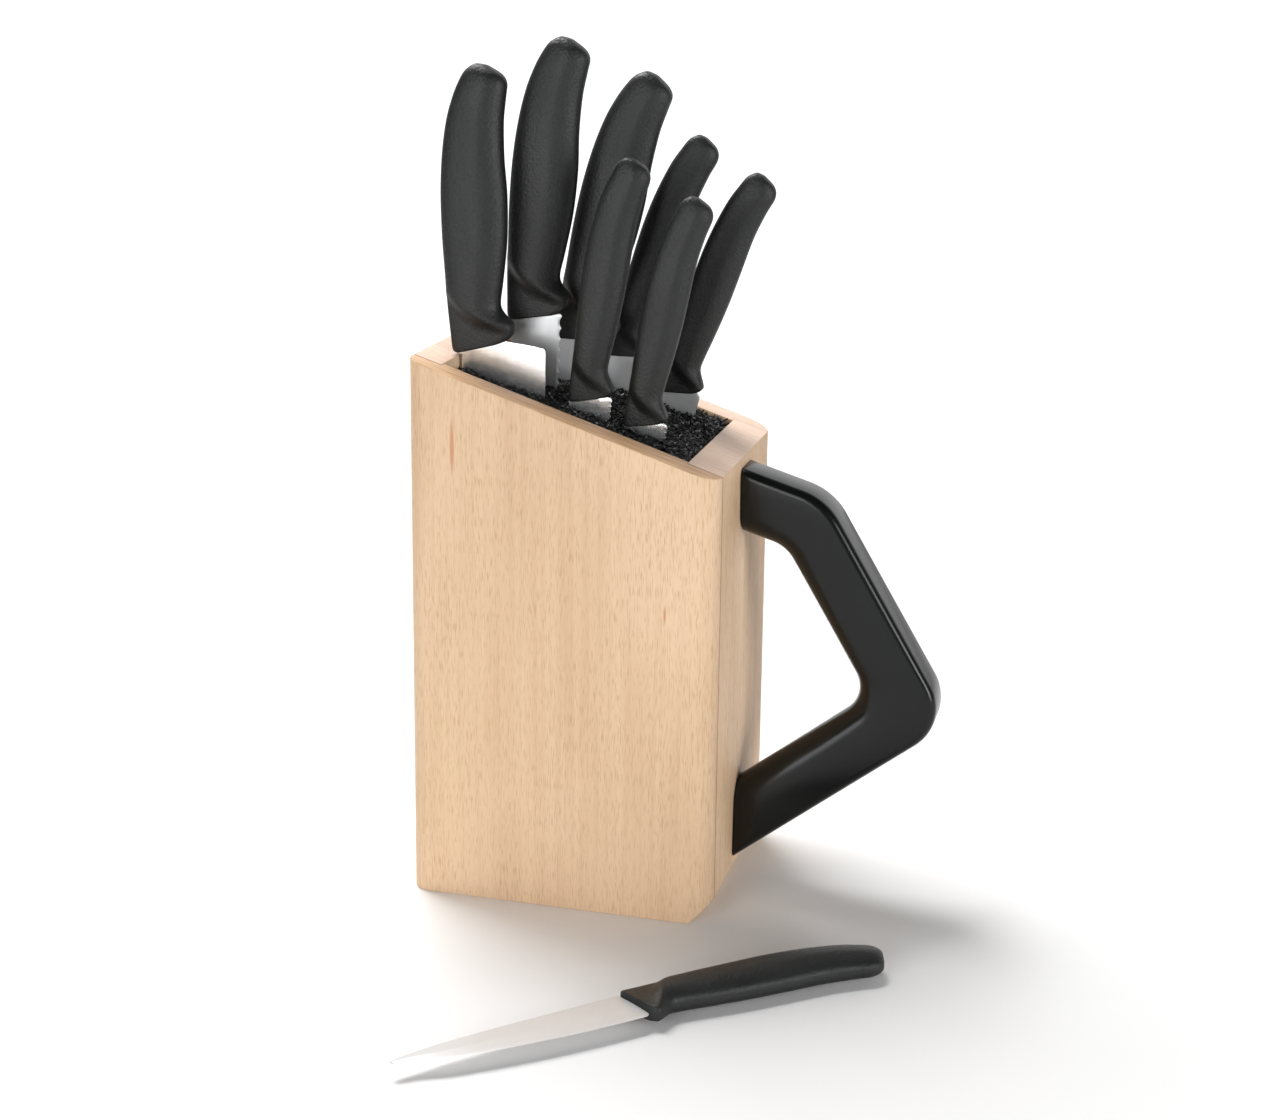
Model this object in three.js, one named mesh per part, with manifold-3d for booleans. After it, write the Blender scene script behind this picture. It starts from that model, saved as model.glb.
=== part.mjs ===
// Knife block with a carrying handle, a bristle insert and eight moulded-handle knives.
// Millimetres, +Z up. The origin is the centre of the block's underside, +X points to the
// carrying handle, and the knives' blades lie in planes parallel to XZ.
import * as THREE from "three";
import { mergeVertices } from "three/addons/utils/BufferGeometryUtils.js";
import Module from "manifold-3d";

const wasm = await Module();
wasm.setup();

// ---------------------------------------------------------------- block
const blockLength = 132.7; // X, over the front and rear boards
const blockWidth = 108.5; // Y, over the side panels
const frontHeight = 191.9; // top of the rim at the front face
const topTilt = 17.9; // degrees, the rim rises towards the rear
const sideThickness = 13.6;
const frontThickness = 15;
const rearThickness = 12;
const baseThickness = 15;
const housingDepth = 3; // how far the front and rear boards are let into the side panels
const frontCornerRadius = 10.6;
const rearCornerRadius = 7.9;
const frontBevel = 8.6; // 45 degree cut along the front board's lower edge
const glueLine = 0.1; // between two boards

// ---------------------------------------------------------------- bristle insert
const bristleRecess = 5.5; // rim down to the bristle tips, measured upright
const trayClearance = 0.4;
const trayWall = 1.2;
const trayFloor = 2;
const trayHeight = 30;
const bristleClearance = 0.3; // between the bristles and the tray
const slotWidth = 3.2; // gap between two rows of bristles, where the blades stand

// ---------------------------------------------------------------- carrying handle
const gripWidth = 22; // Y
const gripThickness = 27.3; // across each arm, seen from the side
const gripReach = 92.3; // front face to the sharp corner of the outer outline
const gripTopInset = 4.3; // below the front board's top edge
const gripBottom = 12.5; // height of the lower foot's lowest edge
const gripTipHeight = 83.9; // height of the outer outline's sharp corner
const upperArmLength = 36.7; // front face to the upper bend
const upperArmDrop = 11; // fall of the upper arm over that length
const gripBendRadius = 28; // upper bend, outer side
const gripTipRadius = 21; // outer side of the tip
const gripInnerBendRadius = 16;
const gripInnerTipRadius = 14;
const gripEdge = 3.2; // rounding of the handle's long edges

// ---------------------------------------------------------------- screws
const screwRadius = 2.4;
const screwHeadRadius = 4.4;
const screwHeadHeight = 3;
const screwSocketRadius = 1.7;
const screwSocketDepth = 1.8;
const screwInGrip = 13; // length of thread in the handle
const screwPitch = 11; // between the two screws of one foot
const screwClearance = 0.3;

// ---------------------------------------------------------------- knives
const rowGap = 1; // between the handles of neighbouring rows
const pocketClearance = 0.3; // moulded handle round the tang
const shoulderGap = 0.4; // blade's upper edge to the handle
const heelRound = 1.6; // corner of a blade's heel
const handleRings = 2; // lathe rings to each section of a handle
const handleFacets = 16;
const nearMarginShare = 0.68; // part of the mouth's free width on the near side of the first row
const looseKnifeCorner = new THREE.Vector2(50.3, -137.1); // the spare knife beside the block
const looseKnifeHeading = 45; // degrees, blade to handle, from +X

// A handle is a row of oval sections from the blade end to the butt. Each entry holds the two
// ends of a section in the side view, [across, along] on the spine side and then on the cutting
// side, with half the thickness there and how square the oval is (2 is an ellipse).
const largeHandle = {
  sections: [
    [[0, 0], [22, 3.2], 4.4, 8],
    [[-0.3, 5], [26.8, 7.8], 4.6, 8],
    [[-0.3, 10], [26.9, 11.4], 4.8, 7],
    [[-0.3, 16], [23.3, 15.8], 5.8, 5],
    [[-0.2, 23], [22.3, 20], 7, 3.6],
    [[0.2, 34], [24.4, 29], 8, 3],
    [[0.7, 50], [28, 46], 8.4, 2.8],
    [[2.1, 68], [30, 64], 8.5, 2.8],
    [[4.6, 84], [30.4, 80], 8.5, 2.8],
    [[8, 97.5], [31.8, 95], 8.3, 2.8],
    [[11.8, 107], [33.9, 105], 8, 2.8],
    [[15.3, 113.4], [35, 110.5], 7.3, 3],
    [[18.2, 117.2], [33.4, 114], 6.2, 3],
    [[21.4, 119.2], [28.6, 117.6], 4, 3],
  ],
  halfThickness: 8.5,
  tang: { from: 5, width: 13, length: 82 },
  blade: 2.2,
};
const smallHandle = {
  sections: [
    [[0, 0.4], [16.8, 3.2], 3.6, 8],
    [[0.4, 5], [19.2, 6.4], 3.7, 8],
    [[0.9, 9.5], [18, 9.6], 3.9, 6],
    [[1.5, 15], [16.5, 13.8], 4.8, 4],
    [[2.3, 22], [17.3, 19], 5.7, 3],
    [[3.4, 34], [20.2, 31], 6.3, 2.8],
    [[4.9, 48], [23.2, 45], 6.5, 2.6],
    [[6.9, 62], [25.7, 60], 6.5, 2.6],
    [[9.9, 75.5], [28.1, 75], 6.4, 2.6],
    [[14, 88.5], [31.2, 86.5], 6.1, 2.6],
    [[17.6, 96.2], [33.8, 94], 5.6, 2.8],
    [[20.2, 100.8], [32.8, 98.6], 4.7, 3],
    [[23, 103], [28.6, 101.8], 3.2, 3],
  ],
  halfThickness: 6.5,
  tang: { from: 4.5, width: 8, length: 58 },
  blade: 1.5,
};

// A blade's profile gives its width at shares of its length, from the handle to the tip, and how
// far the spine has come in there.
const profiles = {
  chef: [[0, 36.8, 0], [0.5, 35.4, 0], [0.72, 31, 0], [0.88, 20, 1], [0.97, 8.4, 3]],
  bread: [[0, 22.6, 0], [0.15, 21.4, 0], [0.6, 20.4, 0], [0.86, 18.6, 0.2], [0.96, 13.6, 1.4]],
  carving: [[0, 22, 0], [0.4, 21.4, 0], [0.7, 18.6, 0.3], [0.88, 12.4, 1.2], [0.97, 6, 2.6]],
  paring: [[0, 18.6, 0], [0.3, 17.6, 0], [0.55, 15, 0.1], [0.8, 11, 0.8], [0.94, 6.4, 2.4]],
  rounded: [[0, 18.6, 0], [0.3, 17.4, 0], [0.7, 15.6, 0], [0.9, 14, 0.6], [0.97, 10.4, 2.4]],
};
const bladeTip = { chef: 4.6, bread: 5.4, carving: 3.6, paring: 3.8, rounded: 6.4 };

// Rows run from the near side to the far side. In a row the knives stand in order along +X, and
// share is the part of the row's free length that lies before them. rise is the handle's height
// over the bristles, tipGap keeps a long blade off the tray, length is a short blade's own.
const rows = [
  [
    {
      name: "chef_knife", handle: largeHandle, profile: "chef", share: 0.04, rise: 6.2,
      inset: 3.3, tipGap: 26, bladeLean: 0, handleLean: -6.1,
    },
    {
      name: "tomato_knife", handle: smallHandle, profile: "rounded", share: 0.377, rise: 4.4,
      inset: 0, length: 108, bladeLean: 3.5, handleLean: 0, teeth: [2.1, 0.45],
    },
    {
      name: "utility_knife", handle: smallHandle, profile: "paring", share: 0.546, rise: 3.2,
      inset: 0, length: 96, bladeLean: 6.3, handleLean: 2.6, teeth: [2.1, 0.45],
      scale: 0.955,
    },
  ],
  [
    {
      name: "bread_knife", handle: largeHandle, profile: "bread", share: 0.206, rise: 24.6,
      inset: 0.8, tipGap: 16, bladeLean: 0, handleLean: 0, teeth: [4.7, 0.9],
    },
  ],
  [
    {
      name: "carving_knife", handle: largeHandle, profile: "carving", share: 0.394, rise: 19.4,
      inset: 0.8, tipGap: 26, bladeLean: 8, handleLean: 8,
    },
  ],
  [
    {
      name: "vegetable_knife", handle: smallHandle, profile: "paring", share: 0.728, rise: 15.2,
      inset: 0, length: 80, bladeLean: 13, handleLean: 9.5,
    },
    {
      name: "peeling_knife", handle: smallHandle, profile: "paring", share: 0.811, rise: 8.4,
      inset: 0, length: 80, bladeLean: 13.7, handleLean: 10.2,
    },
  ],
];
const looseKnife = {
  name: "paring_knife", handle: smallHandle, profile: "paring", inset: 0, length: 97,
  bladeLean: 0, handleLean: -3.5, scale: 1.055,
};

// ---------------------------------------------------------------- derived places
const rimRise = Math.tan(THREE.MathUtils.degToRad(topTilt));
const frontX = blockLength / 2;
const mouth = {
  rear: -frontX + rearThickness,
  front: frontX - frontThickness,
  side: blockWidth / 2 - sideThickness,
};
const boardSide = mouth.side + housingDepth;
const rimHeight = (x) => frontHeight + (frontX - x) * rimRise;
const bristleHeight = (x) => rimHeight(x) - bristleRecess;
const trayBottom = baseThickness + glueLine;
const bristleBottom = trayBottom + trayFloor + glueLine;
const above = frontHeight + blockLength; // clear of everything, for cutting tools

// ---------------------------------------------------------------- materials
const finish = (color, roughness, metalness = 0) =>
  new THREE.MeshStandardMaterial({ color, roughness, metalness });
const beech = () => finish(0xe6c7a0, 0.55);
const bristleNylon = () => finish(0x0c0d0c, 0.7);
const trayPlastic = () => finish(0x1c1c1c, 0.5);
const gripPlastic = () => finish(0x232625, 0.28);
const handlePlastic = () => finish(0x303231, 0.75);
const bladeSteel = () => finish(0xd4d7d9, 0.22, 1);
const screwSteel = () => finish(0x9fa2a4, 0.35, 1);

// ---------------------------------------------------------------- solids
function solidFrom(geometry) {
  geometry.deleteAttribute("normal");
  geometry.deleteAttribute("uv");
  const merged = mergeVertices(geometry, 1e-4);
  return new wasm.Manifold(
    new wasm.Mesh({
      numProp: 3,
      vertProperties: merged.attributes.position.array,
      triVerts: new Uint32Array(merged.index.array),
    }),
  );
}

function geometryFrom(solid) {
  const mesh = solid.getMesh();
  const geometry = new THREE.BufferGeometry();
  geometry.setAttribute("position", new THREE.BufferAttribute(mesh.vertProperties, 3));
  geometry.setIndex(new THREE.BufferAttribute(mesh.triVerts, 1));
  const flat = geometry.toNonIndexed();
  flat.computeVertexNormals();
  return flat;
}

function box(low, high) {
  const size = high.map((v, i) => v - low[i]);
  const geometry = new THREE.BoxGeometry(...size);
  geometry.translate(...low.map((v, i) => v + size[i] / 2));
  return solidFrom(geometry);
}

const shapeOf = (points) => new THREE.Shape(points.map(([a, b]) => new THREE.Vector2(a, b)));

// Outline in XZ, extruded along Y between y0 and y1.
function prismY(points, y0, y1, bevel = 0, bevelAlong = bevel) {
  const geometry = new THREE.ExtrudeGeometry(shapeOf(points), {
    depth: y1 - y0 - 2 * bevelAlong,
    bevelEnabled: bevel > 0,
    bevelSize: bevel,
    bevelThickness: bevelAlong,
    bevelOffset: -bevel,
    bevelSegments: 2,
    steps: 1,
  });
  geometry.rotateX(Math.PI / 2);
  geometry.translate(0, y1 - bevelAlong, 0);
  return solidFrom(geometry);
}

// Outline in XY, extruded up between z0 and z1.
function prismZ(points, z0, z1) {
  const geometry = new THREE.ExtrudeGeometry(shapeOf(points), {
    depth: z1 - z0,
    bevelEnabled: false,
  });
  geometry.translate(0, 0, z0);
  return solidFrom(geometry);
}

// A turned piece with its axis along X: the profile holds [x, radius] pairs.
function turnedX(profile, x, y, z, segments = 20) {
  const geometry = new THREE.LatheGeometry(
    profile.map(([along, radius]) => new THREE.Vector2(radius, along)),
    segments,
  );
  geometry.rotateZ(-Math.PI / 2);
  geometry.translate(x, y, z);
  return solidFrom(geometry);
}

// A polygon whose corners are [a, b, radius]: each corner with a radius becomes an arc.
function rounded(corners, steps = 6) {
  return corners.flatMap(([a, b, radius], i) => {
    if (!radius) return [[a, b]];
    const here = new THREE.Vector2(a, b);
    const toward = (n) => {
      const [c, d] = corners[(i + n + corners.length) % corners.length];
      return new THREE.Vector2(c, d).sub(here).normalize();
    };
    const back = toward(-1);
    const ahead = toward(1);
    const half = back.angleTo(ahead) / 2;
    const centre = back.clone().add(ahead).normalize();
    centre.multiplyScalar(radius / Math.sin(half)).add(here);
    const start = back.multiplyScalar(radius / Math.tan(half)).add(here).sub(centre);
    const end = ahead.multiplyScalar(radius / Math.tan(half)).add(here).sub(centre);
    const turn = Math.atan2(start.cross(end), start.dot(end));
    return Array.from({ length: steps + 1 }, (_, k) => {
      const p = start.clone().rotateAround(new THREE.Vector2(), (turn * k) / steps);
      return [centre.x + p.x, centre.y + p.y];
    });
  });
}

const group = new THREE.Group();

function add(name, solid, material, parent = group) {
  const mesh = new THREE.Mesh(geometryFrom(solid), material);
  mesh.name = name;
  parent.add(mesh);
}

// ---------------------------------------------------------------- boards
// The block's whole outside: rounded upright corners, slanted top, bevelled lower front edge.
function blockOutside() {
  const side = blockWidth / 2;
  const plan = rounded([
    [-frontX, -side, rearCornerRadius],
    [frontX, -side, frontCornerRadius],
    [frontX, side, frontCornerRadius],
    [-frontX, side, rearCornerRadius],
  ]);
  const profile = [
    [-frontX, 0],
    [frontX - frontBevel, 0],
    [frontX, frontBevel],
    [frontX, frontHeight],
    [-frontX, rimHeight(-frontX)],
  ];
  return prismZ(plan, 0, above).intersect(prismY(profile, -side - 1, side + 1));
}

function addSidePanels(outside) {
  for (const [name, sign] of [["near_side_panel", -1], ["far_side_panel", 1]]) {
    const slab = (x0, x1, y0, y1) => {
      const [low, high] = sign > 0 ? [y0, y1] : [-y1, -y0];
      return box([x0, low, -1], [x1, high, above]);
    };
    const panel = outside
      .intersect(slab(-frontX - 1, frontX + 1, mouth.side, blockWidth))
      .subtract(slab(mouth.front - glueLine, frontX + 1, 0, boardSide))
      .subtract(slab(-frontX - 1, mouth.rear + glueLine, 0, boardSide));
    add(name, panel, beech());
  }
}

function addEndBoards(outside) {
  const side = boardSide - glueLine;
  let front = outside.intersect(box([mouth.front, -side, -1], [frontX + 1, side, above]));
  for (const z of screwHeights()) {
    front = front.subtract(screwBore(mouth.front - 1, frontX + 1, screwClearance, z));
    front = front.subtract(screwHeadBore(z));
  }
  add("front_board", front, beech());
  const rear = outside.intersect(box([-frontX - 1, -side, -1], [mouth.rear, side, above]));
  add("rear_board", rear, beech());
}

function addBaseBoard() {
  const low = [mouth.rear + glueLine, -mouth.side + glueLine, 0];
  const high = [mouth.front - glueLine, mouth.side - glueLine, baseThickness];
  add("base_board", box(low, high), beech());
}

// ---------------------------------------------------------------- carrying handle
const gripAt = frontX + glueLine;
const gripBack = gripAt - 2 * gripEdge; // where the outline is closed, behind the feet

const upright = (x) => ({ from: new THREE.Vector2(x, 0), along: new THREE.Vector2(0, 1) });

function meet(a, b) {
  const t = b.from.clone().sub(a.from).cross(b.along) / a.along.cross(b.along);
  return a.along.clone().multiplyScalar(t).add(a.from);
}

// The three straight stretches of the outer outline from the side, upper arm first, and the
// same stretches moved in by the handle's thickness.
function gripLines() {
  const top = frontHeight - gripTopInset;
  const corners = [
    [gripAt, top],
    [gripAt + upperArmLength, top - upperArmDrop],
    [gripAt + gripReach, gripTipHeight],
    [gripAt, gripBottom],
  ].map(([x, z]) => new THREE.Vector2(x, z));
  const outer = corners.slice(1).map((end, i) => {
    return { from: corners[i], along: end.clone().sub(corners[i]).normalize() };
  });
  const inner = outer.map(({ from, along }) => {
    const inward = new THREE.Vector2(along.y, -along.x).multiplyScalar(gripThickness);
    return { from: from.clone().add(inward), along };
  });
  return { outer, inner };
}

// Heights of the screws: two in each foot, centred where the arm is still behind them.
function screwHeights() {
  const { outer, inner } = gripLines();
  const end = upright(gripAt + screwInGrip);
  const face = upright(gripAt);
  const upper = (meet(outer[0], end).y + meet(inner[0], face).y) / 2;
  const lower = (meet(outer[2], face).y + meet(inner[2], face).y) / 2;
  return [upper, lower].flatMap((z) => [z + screwPitch / 2, z - screwPitch / 2]);
}

function screwBore(x0, x1, clearance, z) {
  const r = screwRadius + clearance;
  return turnedX([[0, 0], [0, r], [x1 - x0, r], [x1 - x0, 0]], x0, 0, z);
}

function screwHeadBore(z) {
  const r = screwHeadRadius + screwClearance;
  const depth = screwHeadHeight + 1 + screwClearance;
  return turnedX([[0, 0], [0, r], [depth, r], [depth, 0]], mouth.front - 1, 0, z);
}

function addGrip() {
  const { outer, inner } = gripLines();
  const back = upright(gripBack);
  const corner = (a, b, radius = 0) => [meet(a, b).x, meet(a, b).y, radius];
  const outline = rounded([
    corner(outer[2], back),
    corner(outer[2], outer[1], gripTipRadius),
    corner(outer[1], outer[0], gripBendRadius),
    corner(outer[0], back),
    corner(inner[0], back),
    corner(inner[0], inner[1], gripInnerBendRadius),
    corner(inner[1], inner[2], gripInnerTipRadius),
    corner(inner[2], back),
  ]);
  let grip = prismY(outline, -gripWidth / 2, gripWidth / 2, gripEdge)
    .subtract(box([0, -gripWidth, 0], [gripAt, gripWidth, above]));
  for (const z of screwHeights()) {
    const end = gripAt + screwInGrip + screwClearance;
    grip = grip.subtract(screwBore(gripAt - 1, end, screwClearance, z));
  }
  add("carry_handle", grip, gripPlastic());
}

function addScrews() {
  const head = mouth.front;
  const seat = screwHeadHeight;
  const end = gripAt + screwInGrip - head;
  const profile = [
    [screwSocketDepth, 0],
    [screwSocketDepth, screwSocketRadius],
    [0, screwSocketRadius],
    [0, screwHeadRadius],
    [seat, screwHeadRadius],
    [seat, screwRadius],
    [end - screwRadius, screwRadius],
    [end, 0],
  ];
  screwHeights().forEach((z, i) => {
    add("handle_screw_" + (i + 1), turnedX(profile, head, 0, z), screwSteel());
  });
}

// ---------------------------------------------------------------- bristle insert
function addTray() {
  const outer = {
    low: [mouth.rear + trayClearance, -mouth.side + trayClearance, trayBottom],
    high: [mouth.front - trayClearance, mouth.side - trayClearance, trayBottom + trayHeight],
  };
  const tray = box(outer.low, outer.high).subtract(
    box(
      [outer.low[0] + trayWall, outer.low[1] + trayWall, trayBottom + trayFloor],
      [outer.high[0] - trayWall, outer.high[1] - trayWall, above],
    ),
  );
  add("bristle_tray", tray, trayPlastic());
}

// One wide bed of bristles between each two rows of blades.
function addBristles(rowPlaces) {
  const inset = trayClearance + trayWall + bristleClearance;
  const rear = mouth.rear + inset;
  const front = mouth.front - inset;
  const side = mouth.side - inset;
  const profile = [
    [rear, bristleBottom],
    [front, bristleBottom],
    [front, bristleHeight(front)],
    [rear, bristleHeight(rear)],
  ];
  const edges = rowPlaces.flatMap((y) => [y - slotWidth / 2, y + slotWidth / 2]);
  const limits = [-side, ...edges, side];
  for (let i = 0; i < limits.length; i += 2) {
    const bed = prismY(profile, limits[i], limits[i + 1]);
    add("bristle_bed_" + (i / 2 + 1), bed, bristleNylon());
  }
}

// ---------------------------------------------------------------- knives
// In a knife's own frame its spine corner is the origin, +X points across to the cutting side,
// +Z along the knife to the butt, and the blade hangs below.
function tilted(solid, degrees) {
  return solid.rotate([0, degrees, 0]);
}

// The sections are joined by curves, and the lathe's rings are laid on them.
function handleBody({ sections }) {
  const side = (i) => new THREE.SplineCurve(sections.map((s) => new THREE.Vector2(...s[i])));
  const oval = new THREE.SplineCurve(sections.map((s) => new THREE.Vector2(s[2], s[3])));
  const spine = side(0);
  const cutting = side(1);
  const rings = handleRings * (sections.length - 1);
  const profile = [new THREE.Vector2(0, 0)];
  for (let i = 0; i <= rings; i++) {
    profile.push(new THREE.Vector2(1, i / rings));
  }
  profile.push(new THREE.Vector2(0, 1));
  const geometry = new THREE.LatheGeometry(profile, handleFacets);
  const place = geometry.attributes.position;
  for (let i = 0; i < place.count; i++) {
    const t = THREE.MathUtils.clamp(place.getY(i), 0, 1);
    const { x: half, y: square } = oval.getPoint(t);
    const soften = (v) => (Math.abs(v) < 1e-9 ? 0 : Math.sign(v) * Math.abs(v) ** (2 / square));
    const from = spine.getPoint(t);
    const to = cutting.getPoint(t);
    const p = from.lerp(to, (1 - soften(place.getX(i))) / 2);
    place.setXYZ(i, p.x, half * soften(place.getZ(i)), p.y);
  }
  return solidFrom(geometry);
}

function tangOutline({ tang }, clearance) {
  const low = tang.from - clearance;
  const high = tang.from + tang.width + clearance;
  const end = tang.length + clearance;
  return [
    [low, -8],
    [high, -8],
    [high, end - tang.width / 2],
    [high - tang.width / 4, end],
    [low + tang.width / 4, end],
    [low, end - tang.width / 2],
  ];
}

function handleSolid(knife) {
  const { handle, scale = 1 } = knife;
  const pocketHalf = handle.blade / 2 + pocketClearance;
  const pocket = prismY(tangOutline(handle, pocketClearance), -pocketHalf, pocketHalf);
  const body = handleBody(handle).subtract(pocket).scale([scale, 1, scale]);
  return tilted(body, knife.handleLean - knife.bladeLean);
}

// Side view of the blade, with scallops along the edge of a toothed one.
function bladeOutline(knife, length) {
  const { profile, inset, teeth } = knife;
  const stations = profiles[profile];
  const spine = stations.map(([share, , drop]) => [inset + drop, -share * length]);
  const tip = [inset + bladeTip[profile], -length];
  const edgePoints = stations.map(([share, width]) => [inset + width, -share * length]);
  const curve = new THREE.SplineCurve(
    [...edgePoints, tip].map(([a, b]) => new THREE.Vector2(a, b)),
  );
  const cut = teeth ? Math.round((0.9 * length) / teeth[0]) * 3 : 14;
  const edge = curve.getPoints(cut).map((p, i) => {
    const bite = teeth && i > 1 && i < 0.9 * cut && i % 3 ? teeth[1] : 0;
    return [p.x - bite, p.y];
  });
  const shoulder = risingLine(knife);
  const heel = inset + stations[0][1];
  const lobe = knife.handle.tang.from + 1.5 * knife.handle.tang.width;
  const meets = Math.min(heel - heelRound, lobe);
  const top = [[inset, shoulder(inset)], [meets, shoulder(meets)]];
  if (meets === lobe) {
    top.push([heel - heelRound, shoulder(meets) - heelRound]);
  }
  return [...top, ...edge, ...spine.slice(1).reverse()];
}

// The handle's lower edge in the knife's frame, less the gap that the blade keeps to it.
function risingLine({ handle, handleLean, bladeLean }) {
  const [[a, b], [c, d]] = handle.sections[0];
  const turn = THREE.MathUtils.degToRad(bladeLean - handleLean);
  const slope = Math.tan(Math.atan2(d - b, c - a) + turn);
  return (across) => across * slope - shoulderGap;
}

// Across the blade: full thickness at the spine, ground to a thin edge.
function bladeSection({ handle, inset, profile }) {
  const half = handle.blade / 2;
  const width = profiles[profile][0][1];
  const ground = inset + 0.55 * width;
  const edge = inset + width + 1;
  const thin = 0.2;
  return [
    [inset - 1, -half], [ground, -half], [edge, -thin],
    [edge, thin], [ground, half], [inset - 1, half],
  ];
}

function bladeSolid(knife, length) {
  const { handle, scale = 1, handleLean, bladeLean } = knife;
  const half = handle.blade / 2;
  const plate = prismY(bladeOutline(knife, length), -half, half).intersect(
    prismZ(bladeSection(knife), -length - 1, length),
  );
  const tang = prismY(tangOutline(handle, 0), -half + 0.2, half - 0.2).scale([scale, 1, scale]);
  const inHandle = tilted(tang, handleLean - bladeLean);
  return plate.add(inHandle);
}

function addKnife(knife, length, frame) {
  const holder = new THREE.Group();
  frame.decompose(holder.position, holder.quaternion, holder.scale);
  add(knife.name + "_blade", bladeSolid(knife, length), bladeSteel(), holder);
  add(knife.name + "_handle", handleSolid(knife), handlePlastic(), holder);
  group.add(holder);
}

// Planes of the rows, from the near side: handles lie rowGap apart.
function placeRows() {
  const halves = rows.map((row) => row[0].handle.halfThickness);
  const places = [0];
  for (let i = 1; i < halves.length; i++) {
    places.push(places[i - 1] + halves[i - 1] + halves[i] + rowGap);
  }
  const free = 2 * mouth.side - places[places.length - 1];
  return places.map((y) => y - mouth.side + nearMarginShare * free);
}

function addRow(row, y) {
  const width = (knife) => profiles[knife.profile][0][1];
  const free = mouth.front - mouth.rear - row.reduce((sum, knife) => sum + width(knife), 0);
  let before = 0;
  for (const knife of row) {
    const x = mouth.rear + before + knife.share * free - knife.inset;
    const z = bristleHeight(x) + knife.rise;
    const lean = THREE.MathUtils.degToRad(knife.bladeLean);
    const reach = (z - bristleBottom - knife.tipGap) / Math.cos(lean);
    const frame = new THREE.Matrix4().makeRotationY(lean).setPosition(x, y, z);
    addKnife(knife, knife.length ?? reach, frame);
    before += width(knife);
  }
}

// The spare knife lies on its side, cutting edge away from the block.
function addLooseKnife() {
  const turn = THREE.MathUtils.degToRad(looseKnifeHeading);
  const along = new THREE.Vector3(Math.cos(turn), Math.sin(turn), 0);
  const across = new THREE.Vector3(Math.sin(turn), -Math.cos(turn), 0);
  const frame = new THREE.Matrix4()
    .makeBasis(across, new THREE.Vector3(0, 0, -1), along)
    .setPosition(looseKnifeCorner.x, looseKnifeCorner.y, looseKnife.handle.halfThickness);
  addKnife(looseKnife, looseKnife.length, frame);
}

const outside = blockOutside();
addSidePanels(outside);
addEndBoards(outside);
addBaseBoard();
addGrip();
addScrews();
addTray();
const rowPlaces = placeRows();
addBristles(rowPlaces);
rows.forEach((row, i) => addRow(row, rowPlaces[i]));
addLooseKnife();

export default group;
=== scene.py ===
"""Knife block with a carrying handle, a bristle insert and moulded-handle kitchen knives."""

import math
import random
from collections import namedtuple

import bmesh
import bpy
from mathutils import Matrix, Vector


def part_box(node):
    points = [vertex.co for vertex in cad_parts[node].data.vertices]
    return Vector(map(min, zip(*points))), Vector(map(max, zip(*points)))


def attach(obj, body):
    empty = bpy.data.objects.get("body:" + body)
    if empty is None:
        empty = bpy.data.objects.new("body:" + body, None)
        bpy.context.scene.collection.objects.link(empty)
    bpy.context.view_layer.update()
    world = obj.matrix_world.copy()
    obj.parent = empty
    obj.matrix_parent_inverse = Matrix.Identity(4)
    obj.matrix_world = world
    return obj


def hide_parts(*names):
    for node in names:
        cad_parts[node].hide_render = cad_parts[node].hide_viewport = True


bl_info = {
    "name": "Knife Block",
    "version": (1, 0, 0),
    "blender": (4, 5, 0),
    "location": "View3D > Sidebar > Knife Block",
    "description": "Builds a beech knife block, its bristles and its knives round a packed frame",
    "category": "Object",
}

MM = 0.001
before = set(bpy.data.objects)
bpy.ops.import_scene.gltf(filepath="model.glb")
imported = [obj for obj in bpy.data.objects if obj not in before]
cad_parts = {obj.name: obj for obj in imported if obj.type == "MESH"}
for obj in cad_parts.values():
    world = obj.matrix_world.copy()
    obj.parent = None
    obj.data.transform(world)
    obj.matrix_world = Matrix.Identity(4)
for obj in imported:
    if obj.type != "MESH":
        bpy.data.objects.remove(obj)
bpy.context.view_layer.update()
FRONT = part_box("front_board")
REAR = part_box("rear_board")
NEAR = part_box("near_side_panel")
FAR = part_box("far_side_panel")
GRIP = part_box("carry_handle")
MOUTH = {
    "rear": REAR[1].x,
    "front": FRONT[0].x,
    "near": NEAR[1].y,
    "far": FAR[0].y,
}
# Rise of the slanted top edges per metre towards the rear.
RIM_SLOPE = (NEAR[1].z - FRONT[1].z) / (FRONT[1].x - NEAR[0].x)

# ------------------------------------------------------------------ settings


def colour_setting(name, description, default):
    """A colour that the user can change."""
    return bpy.props.FloatVectorProperty(
        name=name, description=description, subtype="COLOR", size=3, min=0.0, max=1.0, default=default
    )


def length_setting(name, description, low, high, default):
    """A length that the user can change, in metres."""
    return bpy.props.FloatProperty(
        name=name, description=description, subtype="DISTANCE", unit="LENGTH",
        min=low, max=high, default=default,
    )


def angle_setting(name, description, degrees):
    """An angle that the user can change."""
    return bpy.props.FloatProperty(
        name=name, description=description, subtype="ANGLE", unit="ROTATION",
        default=math.radians(degrees),
    )


class KnifeBlockWood(bpy.types.PropertyGroup):
    """Beech boards of the block."""

    colour: colour_setting(
        "Beech", "Colour of the plain wood between the streaks", (0.745, 0.535, 0.345)
    )
    streak: colour_setting(
        "Streak", "Colour of the broad soft streaks along the grain", (0.62, 0.405, 0.250)
    )
    fleck: colour_setting(
        "Fleck", "Colour of the short dark flecks", (0.50, 0.30, 0.155)
    )
    edge: length_setting(
        "Edge rounding", "Radius of the sanded edges of each board", 0.0001, 0.003, 0.0006
    )


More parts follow.
